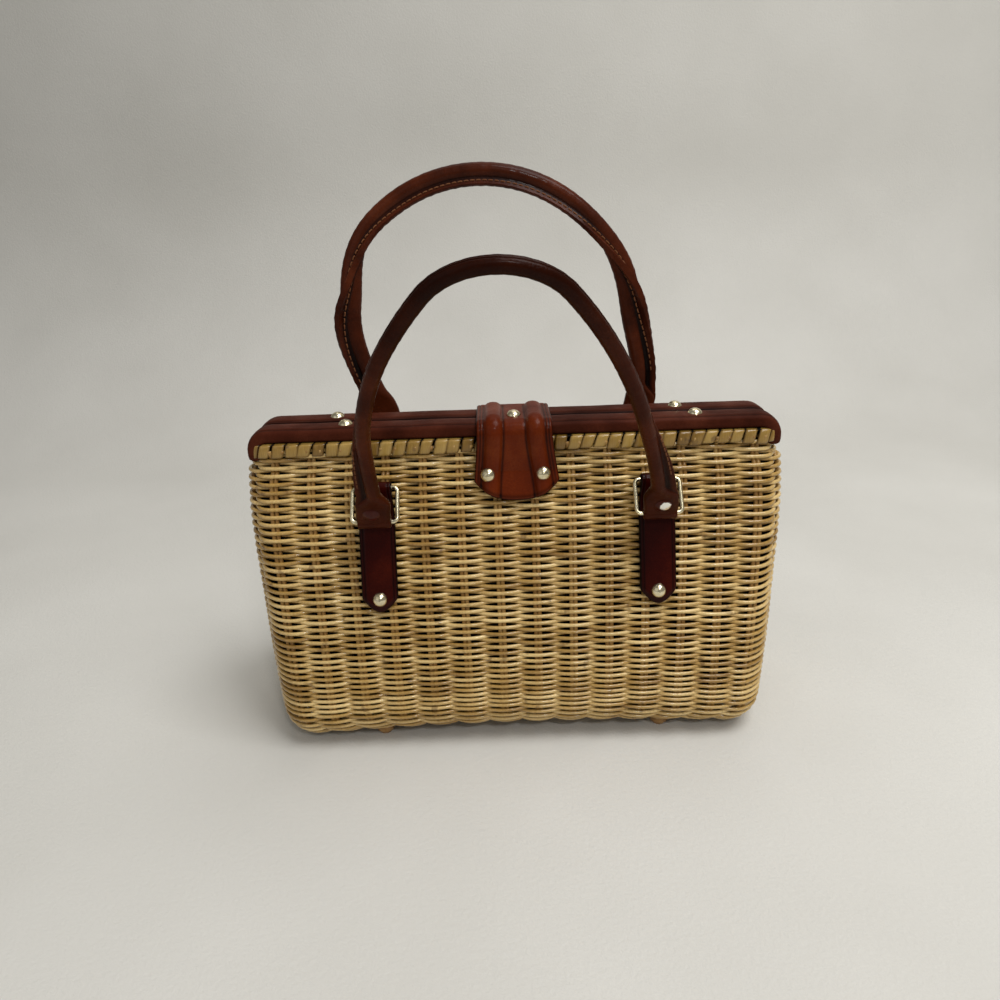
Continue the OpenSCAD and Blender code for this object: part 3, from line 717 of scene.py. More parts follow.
def body_stakes():
    """Stake pairs of the body: down the wall, round a quarter circle and a little way under the base."""
    body, w = props("body"), props("weave")
    foot, low = corner_top(), body.base_z + 1.0
    q = np.linspace(0.2, 1, 6) * math.pi / 2
    z = np.concatenate([np.linspace(body.fold_z + 0.2, foot, 26), foot - (foot - low) * np.sin(q),
                        np.full(4, low)])
    inset = np.concatenate([np.zeros(26), body.corner_r * (1 - np.cos(q)),
                            body.corner_r + np.array([5.0, 10, 15, 18])])
    k = (np.arange(STAKES)[:, None] + 0.5 + PAIR[None, :]).ravel()
    p, nrm = weave_point(k[:, None] + np.zeros((1, len(z))), z[None, :], inset[None, :], -w.depth)
    v, q, each = tubes(p, nrm, w.stake_d / 2, 6, False)
    tone = np.repeat(0.5 + 0.4 * noise_table(3, len(k)), each)
    put_mesh("stakes", v, q, "basket", (), material("stake"),
             {"tone": tone, "crest": np.full(len(v), 0.5)})


def base_weave():
    """Woven base: straight rows from end to end, waving by a cosine against each other on the base's arch."""
    body, w = props("body"), props("weave")
    rows = 34
    edge = body.base_d / 2 - body.corner_r - 1
    y = np.linspace(-edge, edge, rows)
    reach = body.base_w / 2 - body.corner_r - 1 - 12 * np.abs(y / y.max()) ** 4
    x = np.linspace(-1, 1, 60)[None, :] * reach[:, None]
    lift = body.arch * (1 - (2 * x / body.base_w) ** 2)
    sign = np.where((np.arange(rows) % 2)[:, None] == 1, 1.0, -1.0)
    z = body.base_z + 1.6 + lift + sign * np.cos(x / w.pitch * math.pi) * 0.8
    p = np.stack([x, np.broadcast_to(y[:, None], x.shape), z], -1)
    v, q, each = tubes(p, np.zeros_like(p) + np.array([0, 0, -1.0]), w.reed_d / 2, 6, False)
    put_mesh("base_weave", v, q, "basket", (), material("reed"),
             {"tone": np.repeat(0.45 + 0.4 * noise_table(9, rows), each), "crest": np.full(len(v), 0.6)})


def keep(v):
    """The points as they are, for the front half."""
    return v


def half_turn(v):
    """The same points turned half round Z, for the back half."""
    return v * np.array([-1.0, -1.0, 1.0])


def build_half(side):
    """Woven rows, stake tops and cane binding of one mouth half; the back one is the front one turned round.

    Neighbouring rows are joined at the ends by half circles, as one reed that turns back.
    """
    body, w = props("body"), props("weave")
    turn = keep if side == "front" else half_turn
    seed = 40 if side == "front" else 60
    row_step = 2.05
    edge = BAND_K + 0.42
    k = np.linspace(-edge, edge, int(2 * edge * PER))
    rows = w.band_rows
    z = body.fold_z + 1.3 + np.arange(rows) * row_step
    p, nrm, swing = weavers(k, z, np.zeros(rows), np.arange(rows) % 2 + 1, seed)
    tuck = smooth((np.abs(k) - (edge - 0.35)) / 0.35)
    p = p - nrm * (tuck * 1.2)[None, :, None]
    v, q, _ = tubes(p, nrm, w.reed_d / 2, SIDES, False)
    tone = tones(rows, len(k) + 2, seed + 1)
    bends = []
    for e, first in ((-1, 0), (0, 1)):
        for i in range(first, rows - 1, 2):
            a, b = p[i, e], p[i + 1, e]
            out = p[i, e] - p[i, -3 if e else 2]
            out /= np.linalg.norm(out)
            t = np.linspace(0, math.pi, 13)[:, None]
            bends.append((a + b) / 2 + (a - b) / 2 * np.cos(t) + out * np.sin(t) * 1.5)
    bends = np.array(bends)
    ends = tubes(bends, np.zeros_like(bends) + np.array([0, -1.0, 0]), w.reed_d / 2, SIDES, False)
    v, q = join([(v, q), ends[:2]])
    put_mesh(side + "_rows", turn(v), q, side + "_half", (side + "_band",), material("reed"),
             {"tone": np.concatenate([tone, np.full(len(ends[0]), 0.6)]),
              "crest": np.concatenate([crests(swing, True), np.full(len(ends[0]), 0.9)])})
    stake_tops(side, turn, seed)
    wraps(side, turn, seed)
    lip(side, turn)


def stake_tops(side, turn, seed):
    """Stake pairs of a mouth half: up the wall, then fanned sideways and out under the binding."""
    body, w = props("body"), props("weave")
    pairs = int(BAND_K)
    k = (np.arange(-pairs, pairs)[:, None] + 0.5 + PAIR[None, :]).ravel()
    z = np.linspace(body.fold_z - 0.5, body.rim_z - 5.0, 16)
    bent = smooth((z - body.fold_z - 5.5) / 5.0)
    fan = np.tile([-0.05, 0.22], 2 * pairs)[:, None] + 0.06 * noise_table(seed + 2, len(k), 1)
    off = (-w.depth + 3.0 * bent)[None, :]
    p, nrm = weave_point(k[:, None] + fan * bent[None, :], z[None, :], 0.0, off)
    v, q, each = tubes(p, nrm, w.stake_d / 2, 6, False)
    tone = np.repeat(0.5 + 0.4 * noise_table(seed + 3, len(k)), each)
    put_mesh(side + "_stakes", turn(v), q, side + "_half", (), material("stake"),
             {"tone": tone, "crest": np.full(len(v), 0.6)})


def wraps(side, turn, seed):
    """Flat cane wrapped over the rim: each wrap is led up the outside, over the top and down inside.

    A wrap is a flattened ring of points along a path in the plane across the wall, set at an edge distance
    that slants a little with height.
    """
    body = props("body")
    count = 40
    edge = BAND_K + 0.25
    centre = (np.arange(count) + 0.5) / count * 2 * edge - edge + noise_table(seed + 5, count) * 0.03
    wide = 0.168 * (1 + 0.08 * noise_table(seed + 6, count))
    slant = 0.24 + 0.12 * noise_table(seed + 7, count)
    low = body.rim_z - 8.9 + 0.7 * noise_table(seed + 8, count)
    s = np.linspace(0, 1, 18)
    up = smooth(s / 0.45)
    over = smooth((s - 0.40) / 0.25)
    down = np.clip((s - 0.62) / 0.38, 0, 1)
    zs = low[:, None] + (body.rim_z - 2.1 - low[:, None]) * up[None, :] - 6.0 * down[None, :]
    offs = 0.55 + 0.75 * np.sin(np.clip(s / 0.5, 0, 1) * math.pi)[None, :] ** 0.6 - 5.2 * over[None, :]
    sides = 10
    q = np.arange(sides) / sides * 2 * math.pi
    across = np.sign(np.cos(q)) * np.abs(np.cos(q)) ** 0.4
    thick = np.sin(q) * 0.55
    tips = smooth(s / 0.12)
    middle = centre[:, None] + slant[:, None] * (s - 0.3)[None, :]
    width = wide[:, None] * (1 - 0.08 * (1 - tips)[None, :])
    kk = middle[:, :, None] + width[:, :, None] * across[None, None, :]
    bulge = (1 - across ** 2) * 0.28
    shape = kk.shape
    flat = np.clip(1 - over, 0, 1)[None, :, None]
    z_all = np.broadcast_to(zs[:, :, None] + (1 - flat) * flat * 4 * thick * 0.9, shape)
    o_all = np.broadcast_to(offs[:, :, None], shape) + (thick + bulge)[None, None, :] * (2 * flat - 1)
    p, _ = weave_point(kk, z_all, 0.0, o_all)
    ring = p.reshape(count, -1, 3)
    quads = grid_quads(len(s), sides, False, True)
    i = np.arange(sides // 2 - 1)
    caps = np.stack([i, i + 1, sides - 2 - i, sides - 1 - i], -1)
    quads = np.concatenate([quads[:, ::-1], caps, caps[:, ::-1] + (len(s) - 1) * sides])
    quads = (quads[None] + (np.arange(count) * ring.shape[1])[:, None, None]).reshape(-1, 4)
    tone = np.repeat(0.62 + 0.4 * noise_table(seed + 9, count), ring.shape[1])
    # Painted shade: each wrap is darkened at its two edges and towards its low outer end, through the crest
    # attribute.
    edge_shade = 0.5 - 0.42 * np.abs(across) ** 5
    crest = np.broadcast_to(0.06 + edge_shade[None, :] * (0.35 + 0.65 * tips[:, None]), shape)
    put_mesh(side + "_wraps", turn(ring.reshape(-1, 3)), quads, side + "_half", (side + "_binding",),
             material("cane"), {"tone": tone, "crest": crest})


def lip(side, turn):
    """Black lining of a mouth half: a thin band inside the weave, turned out under the leather bar."""
    body = props("body")
    k = np.linspace(-BAND_K - 0.2, BAND_K + 0.2, 160)
    z = np.array([body.rim_z - 2.0, body.rim_z - 2.0, body.rim_z - 2.8, body.fold_z - 2.0])
    off = np.array([1.1, -4.6, -5.0, -5.0])
    top, _ = weave_point(k[None, :] + np.zeros((4, 1)), z[:, None], 0.0, off[:, None])
    z2 = np.array([body.rim_z - 2.5, body.rim_z - 2.5, body.rim_z - 2.9, body.fold_z - 2.0])
    off2 = np.array([1.1, -4.0, -4.3, -4.3])
    low, _ = weave_point(k[None, :] + np.zeros((4, 1)), z2[:, None], 0.0, off2[:, None])
    v, q = slab(top, low)
    ob = put_mesh(side + "_lip", turn(v), q, side + "_half", (), material("black_cloth"))


def build_lining():
    """Black lining of the body: an open bag a little inside the weave, with a flat floor."""
    body = props("body")
    foot = body.base_z + body.corner_r + 9.0
    q = np.linspace(0, 1, 6) * math.pi / 2
    z = np.concatenate([np.linspace(body.fold_z - 0.5, foot, 20), foot - body.corner_r * 0.5 * np.sin(q[1:]),
                        [foot - 7.5] * 3])
    ins = np.concatenate([np.zeros(20), body.corner_r * (1 - np.cos(q[1:])), [24.0, 34.0, 36.0]])
    k = np.arange(160) / 160 * STAKES
    outer, _ = weave_point(k[None, :] + np.zeros((len(z), 1)), z[:, None], ins[:, None], -4.7, 0.0)
    inner, _ = weave_point(k[None, :] + np.zeros((len(z), 1)), z[:, None], ins[:, None], -5.5, 0.0)
    inner[1:, :, 2] += 0.6
    n, m, _ = outer.shape
    i = np.arange(m)
    after = (i + 1) % m
    edge = np.stack([i, after, after + n * m, i + n * m], -1)
    quads = grid_quads(n, m, False, True)
    quads = np.concatenate([quads[:, ::-1], quads + n * m, edge])
    bag = np.concatenate([outer.reshape(-1, 3), inner.reshape(-1, 3)])
    x, y = np.meshgrid([-112.0, 112.0], [-34.0, 34.0], indexing="ij")
    floor = np.stack([x, y, np.full_like(x, foot - 7.3)], -1)
    v, q = join([(bag, quads), slab(floor, floor - np.array([0, 0, 0.8]))])
    put_mesh("lining_bag", v, q, "basket", ("lining", "base_board"), material("black_cloth"))


def build_gussets():
    """Black pleated cloth in the end slits, one piece for each half, from a bar end to a fold in the middle.

    Across it a power curve and a sine give the fold and the pleats.
    """
    body = props("body")
    for side, s in (("front", -1.0), ("back", 1.0)):
        for end, e in (("left", -1.0), ("right", 1.0)):
            u = np.linspace(0, 1, 14)
            z = np.linspace(body.fold_z - 9, body.rim_z + 1.5, 12)
            y = s * (0.3 + u[None, :] * 13.0)
            x = e * (132.2 - 4.5 * (1 - u[None, :]) ** 1.5 + 1.2 * np.sin(u[None, :] * 6) * 0.5)
            x = x + e * 0.03 * (body.rim_z - z[:, None])
            top = np.stack(np.broadcast_arrays(x, y, z[:, None]), -1)
            v, q = slab(top, top - np.array([e * 0.7, 0, 0]))
            if s * e < 0:
                q = q[:, ::-1]
            ob = put_mesh(side + "_gusset_" + end, v, q, None, (), material("black_cloth"))
            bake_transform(ob)
            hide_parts(end + "_gusset")


def bar_ring(n=64, w=16.4, t=7.2):
    """Outline of a bar: a rounded rectangle with a slightly crowned top and a pressed line near each edge."""
    q = np.arange(n) / n * 2 * math.pi
    q = q + 0.35 * np.sin(2 * q) * -0.5
    x = np.sign(np.cos(q)) * np.abs(np.cos(q)) ** 0.42 * w / 2
    z = np.sign(np.sin(q)) * np.abs(np.sin(q)) ** 0.55 * t / 2
    line = 0.45 * (np.exp(-((x + w * 0.36) / 0.4) ** 2) + np.exp(-((x - w * 0.36) / 0.4) ** 2))
    return x, z + np.where(z > 0, 0.3 * np.cos(x / w * math.pi) - line, 0)


def build_bars():
    """Leather-covered bars: the outline led along the mouth, round a bend and down at both rounded ends."""
    body = props("body")
    mid, mid_y = body.rim_z + 1.7, -8.7
    bend, bar_x, drop = 7.5, 126.5, 6.0
    straight = np.linspace(-bar_x, bar_x, 90)
    q = np.linspace(0, math.pi / 2, 10)[1:]
    fall = np.array([2.0, 4.0, 5.2, drop])
    half_x = np.concatenate([bar_x + bend * np.sin(q), np.full(4, bar_x + bend)])
    half_z = np.concatenate([-bend * (1 - np.cos(q)), -bend - fall])
    half_a = np.concatenate([q, np.full(4, math.pi / 2)])
    px = np.concatenate([-half_x[::-1], straight, half_x])
    pz = np.concatenate([half_z[::-1], np.zeros(90), half_z])
    pa = np.concatenate([-half_a[::-1], np.zeros(90), half_a])
    size = np.ones(len(px))
    size[[0, -1]], size[[1, -2]], size[[2, -3]] = 0.02, 0.72, 0.94
    ry, rz = bar_ring()
    for side in ("front", "back"):
        wob = noise_table(21 if side == "front" else 22, 24)
        sway = np.interp(px, np.linspace(-140, 140, 24), wob)
        tall = 1 + 0.05 * sway
        y = mid_y + ry[None, :] * size[:, None] + 0.25 * sway[:, None] * (ry[None, :] < 0)
        r = rz[None, :] * (size * tall)[:, None]
        x = px[:, None] + r * np.sin(pa)[:, None]
        z = mid + pz[:, None] + r * np.cos(pa)[:, None]
        p = np.stack([x, y, z], -1)
        v = p.reshape(-1, 3) if side == "front" else half_turn(p.reshape(-1, 3))
        # Painted shade: the cover is darkened in the slit between the two bars, on its underside and along
        # the pressed lines of its top.
        painted_shade = np.clip((ry - 6.3) / 1.3, 0, 1) + 0.8 * np.clip((-rz - 2.4) / 0.8, 0, 1)
        line = 0.7 * np.exp(-((np.abs(ry) - 5.9) / 0.5) ** 2) * (rz > 0)
        shade = np.broadcast_to(np.clip(painted_shade + line, 0, 1)[None, :], (len(px), len(ry)))
        put_mesh(side + "_cover", v, grid_quads(len(px), len(ry), False, True), side + "_half",
                 (side + "_bar", side + "_core"), material("leather"), {"shade": shade})


def flap_under(v):
    """Underside of the flap in the plane across the bars at v from its back edge, and its outward normal.

    It runs flat over both bars, round the front bar on a quarter circle and down in front of the weave.
    """
    body = props("body")
    low, bend, back, front = body.rim_z + 5.6, 5.0, 13.5, 20.5
    flat = back + front - bend
    turn = bend * math.pi / 2
    q = np.clip((v - flat) / bend, 0, math.pi / 2)
    fall = np.maximum(v - flat - turn, 0)
    z = low - bend * (1 - np.cos(q)) - fall
    lean = np.maximum(wall_b(z) + 1.9 - front, 0) * (fall > 0)
    y = back - np.minimum(v, flat) - bend * np.sin(q) - lean
    tilt = np.where(fall > 6, 0.28, 0.28 * fall / 6)
    normal = np.stack([-np.sin(q) * np.cos(tilt), np.cos(q) + np.sin(q) * np.sin(tilt)], -1)
    return np.stack([y, z], -1), normal


def build_flap():
    """Clasp flap: a strip bent over the bars with two round ridges, pressed lines and a rounded foot.

    The height over the underside is leather plus half-round ridges less narrow grooves along ridges and
    edges.
    """
    p = props("leather")
    n, m = 90, 81
    u = np.linspace(-1, 1, m)
    total, rounding = 70.5, 9.5
    leather, ridge_high, ridge_half = 2.2, 2.6, 4.2
    line, line_wide = 1.9, 0.35
    v = np.linspace(0, 1, n)[:, None] * (total - rounding * np.abs(u[None, :]) ** 2.6)
    base, nrm = flap_under(v)
    spread = smooth((v - 34) / 40)
    half = p.flap_w / 2 + (p.flap_low_w - p.flap_w) / 2 * spread
    shift = 0.8 * spread
    x = u[None, :] * half + shift
    ridge_c = 10.6 + 3.4 * spread
    d = (np.abs(x - shift) - ridge_c) / ridge_half
    fade = smooth((v - 0.5) / 4.0)
    ridge = ridge_high * np.sqrt(np.clip(1 - d ** 2, 0, 1)) * fade
    groove = 0.35 * np.exp(-((d - 1.22) / 0.13) ** 2) + 0.35 * np.exp(-((d + 1.22) / 0.13) ** 2)
    rim = np.minimum((1 - np.abs(u[None, :])) * half, (1 - np.linspace(0, 1, n)[:, None]) * total)
    edge = 0.9 * np.exp(-rim / 0.7) + 0.3 * np.exp(-((rim - line) / line_wide) ** 2)
    h = leather + ridge - groove * fade - edge
    top = np.stack([x, base[..., 0] + nrm[..., 0] * h, base[..., 1] + nrm[..., 1] * h], -1)
    low = np.stack([x, base[..., 0], base[..., 1]], -1)
    verts, quads = slab(top, low)
    # Painted shade: the grooves beside the ridges, the pressed line, the rounded edge and the underside are
    # darkened.
    crease = groove * fade * 2.4 + 0.9 * np.exp(-((rim - line) / 0.4) ** 2) + np.exp(-rim / 0.5)
    crease = np.clip(crease, 0, 1)
    shade = np.concatenate([crease.ravel(), np.full(crease.size, 0.4)])
    ob = put_mesh("flap", verts, quads[:, ::-1], None, (), material("flap_leather"),
                  {"shade": shade})
    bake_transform(ob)
    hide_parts("clasp_flap", "clasp_anchor")


def build_tabs():
    """Handle tabs: a doubled strap on the wall, blunt at its foot, rolled at its top over the ring's bar.

    Outer face: wall plus thickness up to the eye, then a turn about the eye's axis. A groove runs inside
    the edge.
    """
    p = props("leather")
    n, m = 96, 41
    low_z, rounding = 80.0, 7.0
    clear, leather, eye_r = 1.2, 3.4, 3.1
    line, line_wide, line_deep = 1.9, 0.42, 0.35
    u = np.linspace(-1, 1, m)[None, :]
    foot = low_z + rounding * np.abs(u) ** 1.8
    t = np.linspace(0, 1, n)[:, None]
    straight = 0.84
    s = np.clip(t / straight, 0, 1)
    z = foot + (EYE_Z - foot) * s
    wall = wall_b(z) + clear
    thick = leather - 0.5 * np.clip(1 - (z - foot) / 4.0, 0, 1) ** 2
    edge = np.minimum((1 - np.abs(u)) * p.tab_w / 2, z - foot + 0.02)
    groove = line_deep * np.exp(-((edge - line) / line_wide) ** 2) + 0.7 * np.exp(-edge / 0.55)
    crown = 0.35 * (1 - u ** 2)
    out = wall + thick + crown - groove
    swell = smooth((z - EYE_Z + 12) / 12)
    out = out * (1 - swell) + (EYE_Y + eye_r + crown * 0.3 - groove * 0.5) * swell
    q = np.clip((t - straight) / (1 - straight), 0, 1) * math.radians(200)
    r = eye_r - groove * 0.5
    y = np.where(q > 0, -EYE_Y - r * np.cos(q), -out)
    z = np.where(q > 0, EYE_Z + r * np.sin(q), z)
    half = p.tab_w / 2 * (1 - 0.10 * swell)
    x = u * half
    top = np.stack([np.broadcast_to(x, y.shape), y, z], -1)
    z_in = foot + (EYE_Z - 2.0 - foot) * np.clip(t / 0.97, 0, 1)
    low = np.stack([np.broadcast_to(x, y.shape), -(wall_b(z_in) + clear), z_in], -1)
    verts, quads = slab(top, low)
    # Painted shade: the tab is darkened in its groove, at its edge and on its underside.
    shade = np.concatenate([np.clip(groove * 2.2, 0, 1).ravel(), np.full(groove.size, 0.5)])
    for side, turn, sign in (("front", keep, 1), ("back", half_turn, -1)):
        for name, e in (("left", -sign), ("right", sign)):
            v = turn(verts + np.array([e * p.tab_x, 0, 0]))
            put_mesh(side + "_strap_" + name, v, quads, "basket", (side + "_tab_" + name,),
                     material("dark_leather"), {"shade": shade})


def arch_path(arc, step=1.6):
    """Handle middle line in its own plane: straight end, side arc, top arc, and the mirror image."""
    rise, r1, a1, r2, a2 = arc
    a1, a2 = math.radians(a1), math.radians(a2)
    top = rise - r1
    q = np.linspace(0, a1, int(r1 * a1 / step) + 3)
    first = np.stack([r1 * np.sin(q), top + r1 * np.cos(q)], -1)
    q = np.linspace(a1, a2, int(r2 * (a2 - a1) / step) + 3)[1:]
    mid = np.array([(r1 - r2) * math.sin(a1), top + (r1 - r2) * math.cos(a1)])
    second = mid + r2 * np.stack([np.sin(q), np.cos(q)], -1)
    end = second[-1]
    s = np.linspace(0, 1, 12)[1:, None]
    tab_x = props("leather").tab_x
    tip = np.array([tab_x, 0.0])
    d0 = (second[-1] - second[-2]) / np.linalg.norm(second[-1] - second[-2])
    length = np.linalg.norm(tip - end)
    c1, c2 = end + d0 * length * 0.4, tip + np.array([0, length * 0.4])
    last = (1 - s) ** 3 * end + 3 * (1 - s) ** 2 * s * c1 + 3 * (1 - s) * s ** 2 * c2 + s ** 3 * tip
    half = np.concatenate([first, second, last])
    return np.concatenate([(half * np.array([-1, 1]))[:0:-1], half])


def pose_handle(side, local):
    """Points of a handle from its own plane (across, up, outwards) to the bag, leaned about its ring bar."""
    h = HANDLES[side]
    c, s = math.cos(math.radians(h["lean"])), math.sin(math.radians(h["lean"]))
    x, up, out = local[..., 0], local[..., 1], local[..., 2]
    v = np.stack([x, -h["pivot"][0] - up * s - out * c, h["pivot"][1] + up * c - out * s], -1)
    return v if side == "front" else half_turn(v)


def build_handle(side):
    """Rolled handle: a round roll with a flat stitched flange, led along the arch, its ends pressed flat.

    Each outline is a circle with its outer side drawn out to the flange. Near the ends it turns into a flat
    rounded rectangle, closed there by a roll round the ring's lower bar. The arch leans to one side by
    smooth steps of its height, and on the back handle the flange turns over from the legs to the top.
    """
    p = props("leather")
    handle = HANDLES[side]
    path = arch_path(handle["arc"])
    x, up = path[:, 0].copy(), path[:, 1]
    share = smooth((40.0 - x) / 80.0)
    if side == "front":
        path[:, 0] -= 5.0 * smooth((up - 8.0) / 62.0) + 4.8 * smooth((up - 40.0) / 70.0) * share
    else:
        sway = smooth((up - 5.0) / 60.0) * share + smooth((up - 70.0) / 45.0) * (1 - share)
        path[:, 0] += 6.0 * smooth((up - 8.0) / 62.0) + 8.5 * sway
    tangent = np.gradient(path, axis=0)
    tangent /= np.linalg.norm(tangent, axis=1, keepdims=True)
    normal = np.stack([-tangent[:, 1], tangent[:, 0]], -1)
    dist = np.concatenate([[0], np.cumsum(np.linalg.norm(np.diff(path, axis=0), axis=1))])
    from_end = np.minimum(dist, dist[-1] - dist)
    flat = 1 - smooth((from_end - 13.5) / 9.0)
    q = np.concatenate([np.linspace(-0.31, 0.31, 17)[:-1], np.linspace(0.31, 2 * math.pi - 0.31, 33)[:-1]])
    n = len(q)
    r = p.tube_d / 2 * handle["roll"]
    apex = np.abs(dist - dist[-1] / 2)
    full_turn = math.radians(152)
    if side == "front":
        reach, twist = 1.15 * smooth((apex - 100.0) / 55.0), np.zeros_like(apex)
    else:
        reach = 1.0 + 0.4 * smooth((apex - 100.0) / 60.0)
        twist = -full_turn * (1 - smooth((apex - 40.0) / 125.0))
    turned = np.sin(math.pi * np.clip(twist / -full_turn, 0, 1)) ** 2
    centring = handle["centring"] * p.flange * reach * np.cos(twist) - 1.7 * turned
    path = path - normal * (centring * (1 - flat))[:, None]
    cx, cy = np.cos(q)[None], np.sin(q)[None]
    fin = (r + p.flange * reach - 0.4)[:, None]
    flange_share = 0.30
    on = (np.abs(cy) < flange_share) & (cx > 0)
    edge = np.abs(cy) / flange_share
    tip_x = fin + 0.4 * (1 - (edge / 0.7) ** 2)
    neck_x = fin + (r * 0.95 - fin) * (edge - 0.7) / 0.3
    flange_y = 1.3 * np.sign(cy) * np.clip(edge / 0.5, 0, 1) ** 0.6 * (0.35 + 0.65 * reach[:, None])
    roll_x = np.where(on, np.where(edge < 0.7, tip_x, neck_x), r * cx)
    roll_y = np.where(on, flange_y, r * cy)
    ct, st = np.cos(twist)[:, None], np.sin(twist)[:, None]
    roll_x, roll_y = roll_x * ct - roll_y * st, roll_x * st + roll_y * ct
    roll_x = roll_x * (1 + 0.45 * turned)[:, None]
    end_half, end_thick = 8.6, 2.4
    rect_x = np.sign(cx) * np.abs(cx) ** 0.35 * end_half
    rect_y = np.sign(cy) * np.abs(cy) ** 0.55 * end_thick
    f = flat[:, None]
    ox = roll_x * (1 - f) + rect_x * f
    oy = roll_y * (1 - f) + rect_y * f
    crease = 1 + 0.012 * np.sin(dist * 1.3) * (1 - flat) + 0.008 * np.sin(dist * 3.1 + 1)
    ox, oy = ox * crease[:, None], oy * crease[:, None]
    local = np.concatenate([path[:, None] + normal[:, None] * ox[..., None], oy[..., None]], -1)
    ring = pose_handle(side, local)
    parts = [(ring.reshape(-1, 3), grid_quads(len(path), n, False, True))]
    turn = np.linspace(0, 2 * math.pi, 25)[:-1]
    end_w = np.array([-8.45, -8.3, -7.9, 7.9, 8.3, 8.45])[:, None]
    end_r = np.array([1.3, 2.6, 3.15, 3.15, 2.6, 1.3])[:, None]
    for e in (-1, 1):
        roll = np.broadcast_arrays(e * p.tab_x + end_w, end_r * np.cos(turn), end_r * np.sin(turn))
        end = pose_handle(side, np.stack(roll, -1))
        parts.append((end.reshape(-1, 3), grid_quads(len(end_w), len(turn), False, True)))
    v, quads = join(parts)
    # Painted shade: the roll is darkened in the crease where the flange leaves it.
    neck = (np.abs(cy) > 0.24) & (np.abs(cy) < 0.36) & (cx > 0)
    shade = np.where(neck, 0.75, 0.0) * reach[:, None] * (1 - f)
    # Painted shade: the front handle is darkened round the top of its arch.
    if side == "front":
        shade = np.maximum(shade, 0.66 * (1 - smooth((apex - 20.0) / 80.0))[:, None])
    attrs = {"along": np.repeat(dist, n), "around": np.tile(np.sin(q) * 1.2, len(dist)),
             "shade": shade.ravel()}
    plain = np.zeros(len(v) - len(dist) * n)
    put_mesh(side + "_roll", v, quads, side + "_grip", (side + "_handle", side + "_cord"),
             material(side + "_grip"),
             {key: np.concatenate([values, plain]) for key, values in attrs.items()})
    build_stitches(side, path, normal, dist, reach, twist)


def build_stitches(side, path, normal, dist, reach, twist):
    """Thread along the flange: short round capsules on both faces, evenly spaced, turned with the flange."""
    p = props("leather")
    thread_r, bare_end, least_reach = 0.38, 30, 0.35
    at = np.arange(bare_end, dist[-1] - bare_end, p.stitch)
    at = at[np.interp(at, dist, reach) > least_reach]
    parts = []
    for face in (-1, 1):
        s = np.linspace(-0.36, 0.36, 6) * p.stitch
        d = at[:, None] + s[None, :]
        centre = np.stack([np.interp(d, dist, path[:, 0]), np.interp(d, dist, path[:, 1])], -1)
        nrm = np.stack([np.interp(d, dist, normal[:, 0]), np.interp(d, dist, normal[:, 1])], -1)
        arch = np.sqrt(np.clip(1 - (s / s[-1]) ** 2, 0, 1)) * 0.35
        turn = np.interp(d, dist, twist)
        ox = p.tube_d / 2 + p.flange * np.interp(d, dist, reach) * 0.5
        oy = face * (1.15 + arch)[None, :]
        local = np.concatenate([centre + nrm * (ox * np.cos(turn) - oy * np.sin(turn))[..., None],
                                (ox * np.sin(turn) + oy * np.cos(turn))[..., None]], -1)
        paths = pose_handle(side, local)
        side_n = np.zeros_like(paths) + np.array([0, -1.0, 0.3])
        parts.append(tubes(paths, side_n, thread_r, 6, False)[:2])
    v, q = join(parts)
    put_mesh(side + "_thread", v, q, side + "_grip", (), material("thread"))


def dress_nodes():
    """Materials of the CAD nodes that stay: domes, rings, caps, feet and the hidden snap post."""
    looks = {
        "brass": ("front_studs", "back_studs", "flap_studs", "tab_studs", "clasp_post",
                  "front_ring_left", "front_ring_right", "back_ring_left", "back_ring_right"),
        "cap": ("front_caps", "back_caps"),
        "timber": ("feet",),
    }
    for name, nodes in looks.items():
        for node in nodes:
            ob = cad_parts[node]
            ob.data.materials.clear()
            ob.data.materials.append(material(name))


def build_stage():
    """Pale cloth floor rising into a backdrop, soft light from above right, camera at the photo's angle."""
    floor = stage_floor()
    camera = stage_camera()
    lights = stage_lights()


def stage_floor():
    """Cloth led flat to the back, up a quarter circle and straight on, with painted shade darkening it to the
    left on the rise.
    """
    back, bend = 420, 320
    q = np.linspace(0, 1, 24)[1:] * math.pi / 2
    y = np.concatenate([np.linspace(-2600, back, 60), back + bend * np.sin(q), np.full(16, back + bend)])
    z = np.concatenate([np.zeros(60), bend * (1 - np.cos(q)), np.linspace(bend + 20, 2200, 16)])
    x = np.linspace(-2200, 2200, 60)
    pts = np.stack(np.broadcast_arrays(x[None, :], y[:, None], z[:, None]), -1)
    t, s = new_material("stage_cloth")
    vec = coords(t)
    nap = noise(t, vec, 420, 4, 0.6)
    soft = noise(t, vec, 5, 3, 0.5)
    dark, pale = finish_colours("floor")
    tint = ramp(t, soft, [(0.3, dark), (0.7, pale)])
    split = t.nodes.new("ShaderNodeSeparateXYZ")
    t.links.new(vec, split.inputs[0])
    # Painted shade: the cloth is darkened towards black to the left and higher up the rise.
    side = math_node(t, "SUBTRACT", 0.55, split.outputs[0])
    high = math_node(t, "MINIMUM", math_node(t, "MULTIPLY", split.outputs[2], 2.6), 1.0)
    backdrop_shade = math_node(t, "MULTIPLY", math_node(t, "MAXIMUM", side, 0.0), high)
    black, shade_depth = (0.0, 0.0, 0.0), 0.2
    t.links.new(mix(t, math_node(t, "MULTIPLY", backdrop_shade, shade_depth), tint, black), s.inputs["Base Color"])
    set_inputs(s, {"Roughness": 0.95, "Specular IOR Level": 0.1})
    bump(t, s, nap, 0.35, 0.0012)
    cloth = bpy.data.materials["stage_cloth"]
    return put_mesh("stage_floor", pts, grid_quads(len(y), len(x)), None, (), cloth)


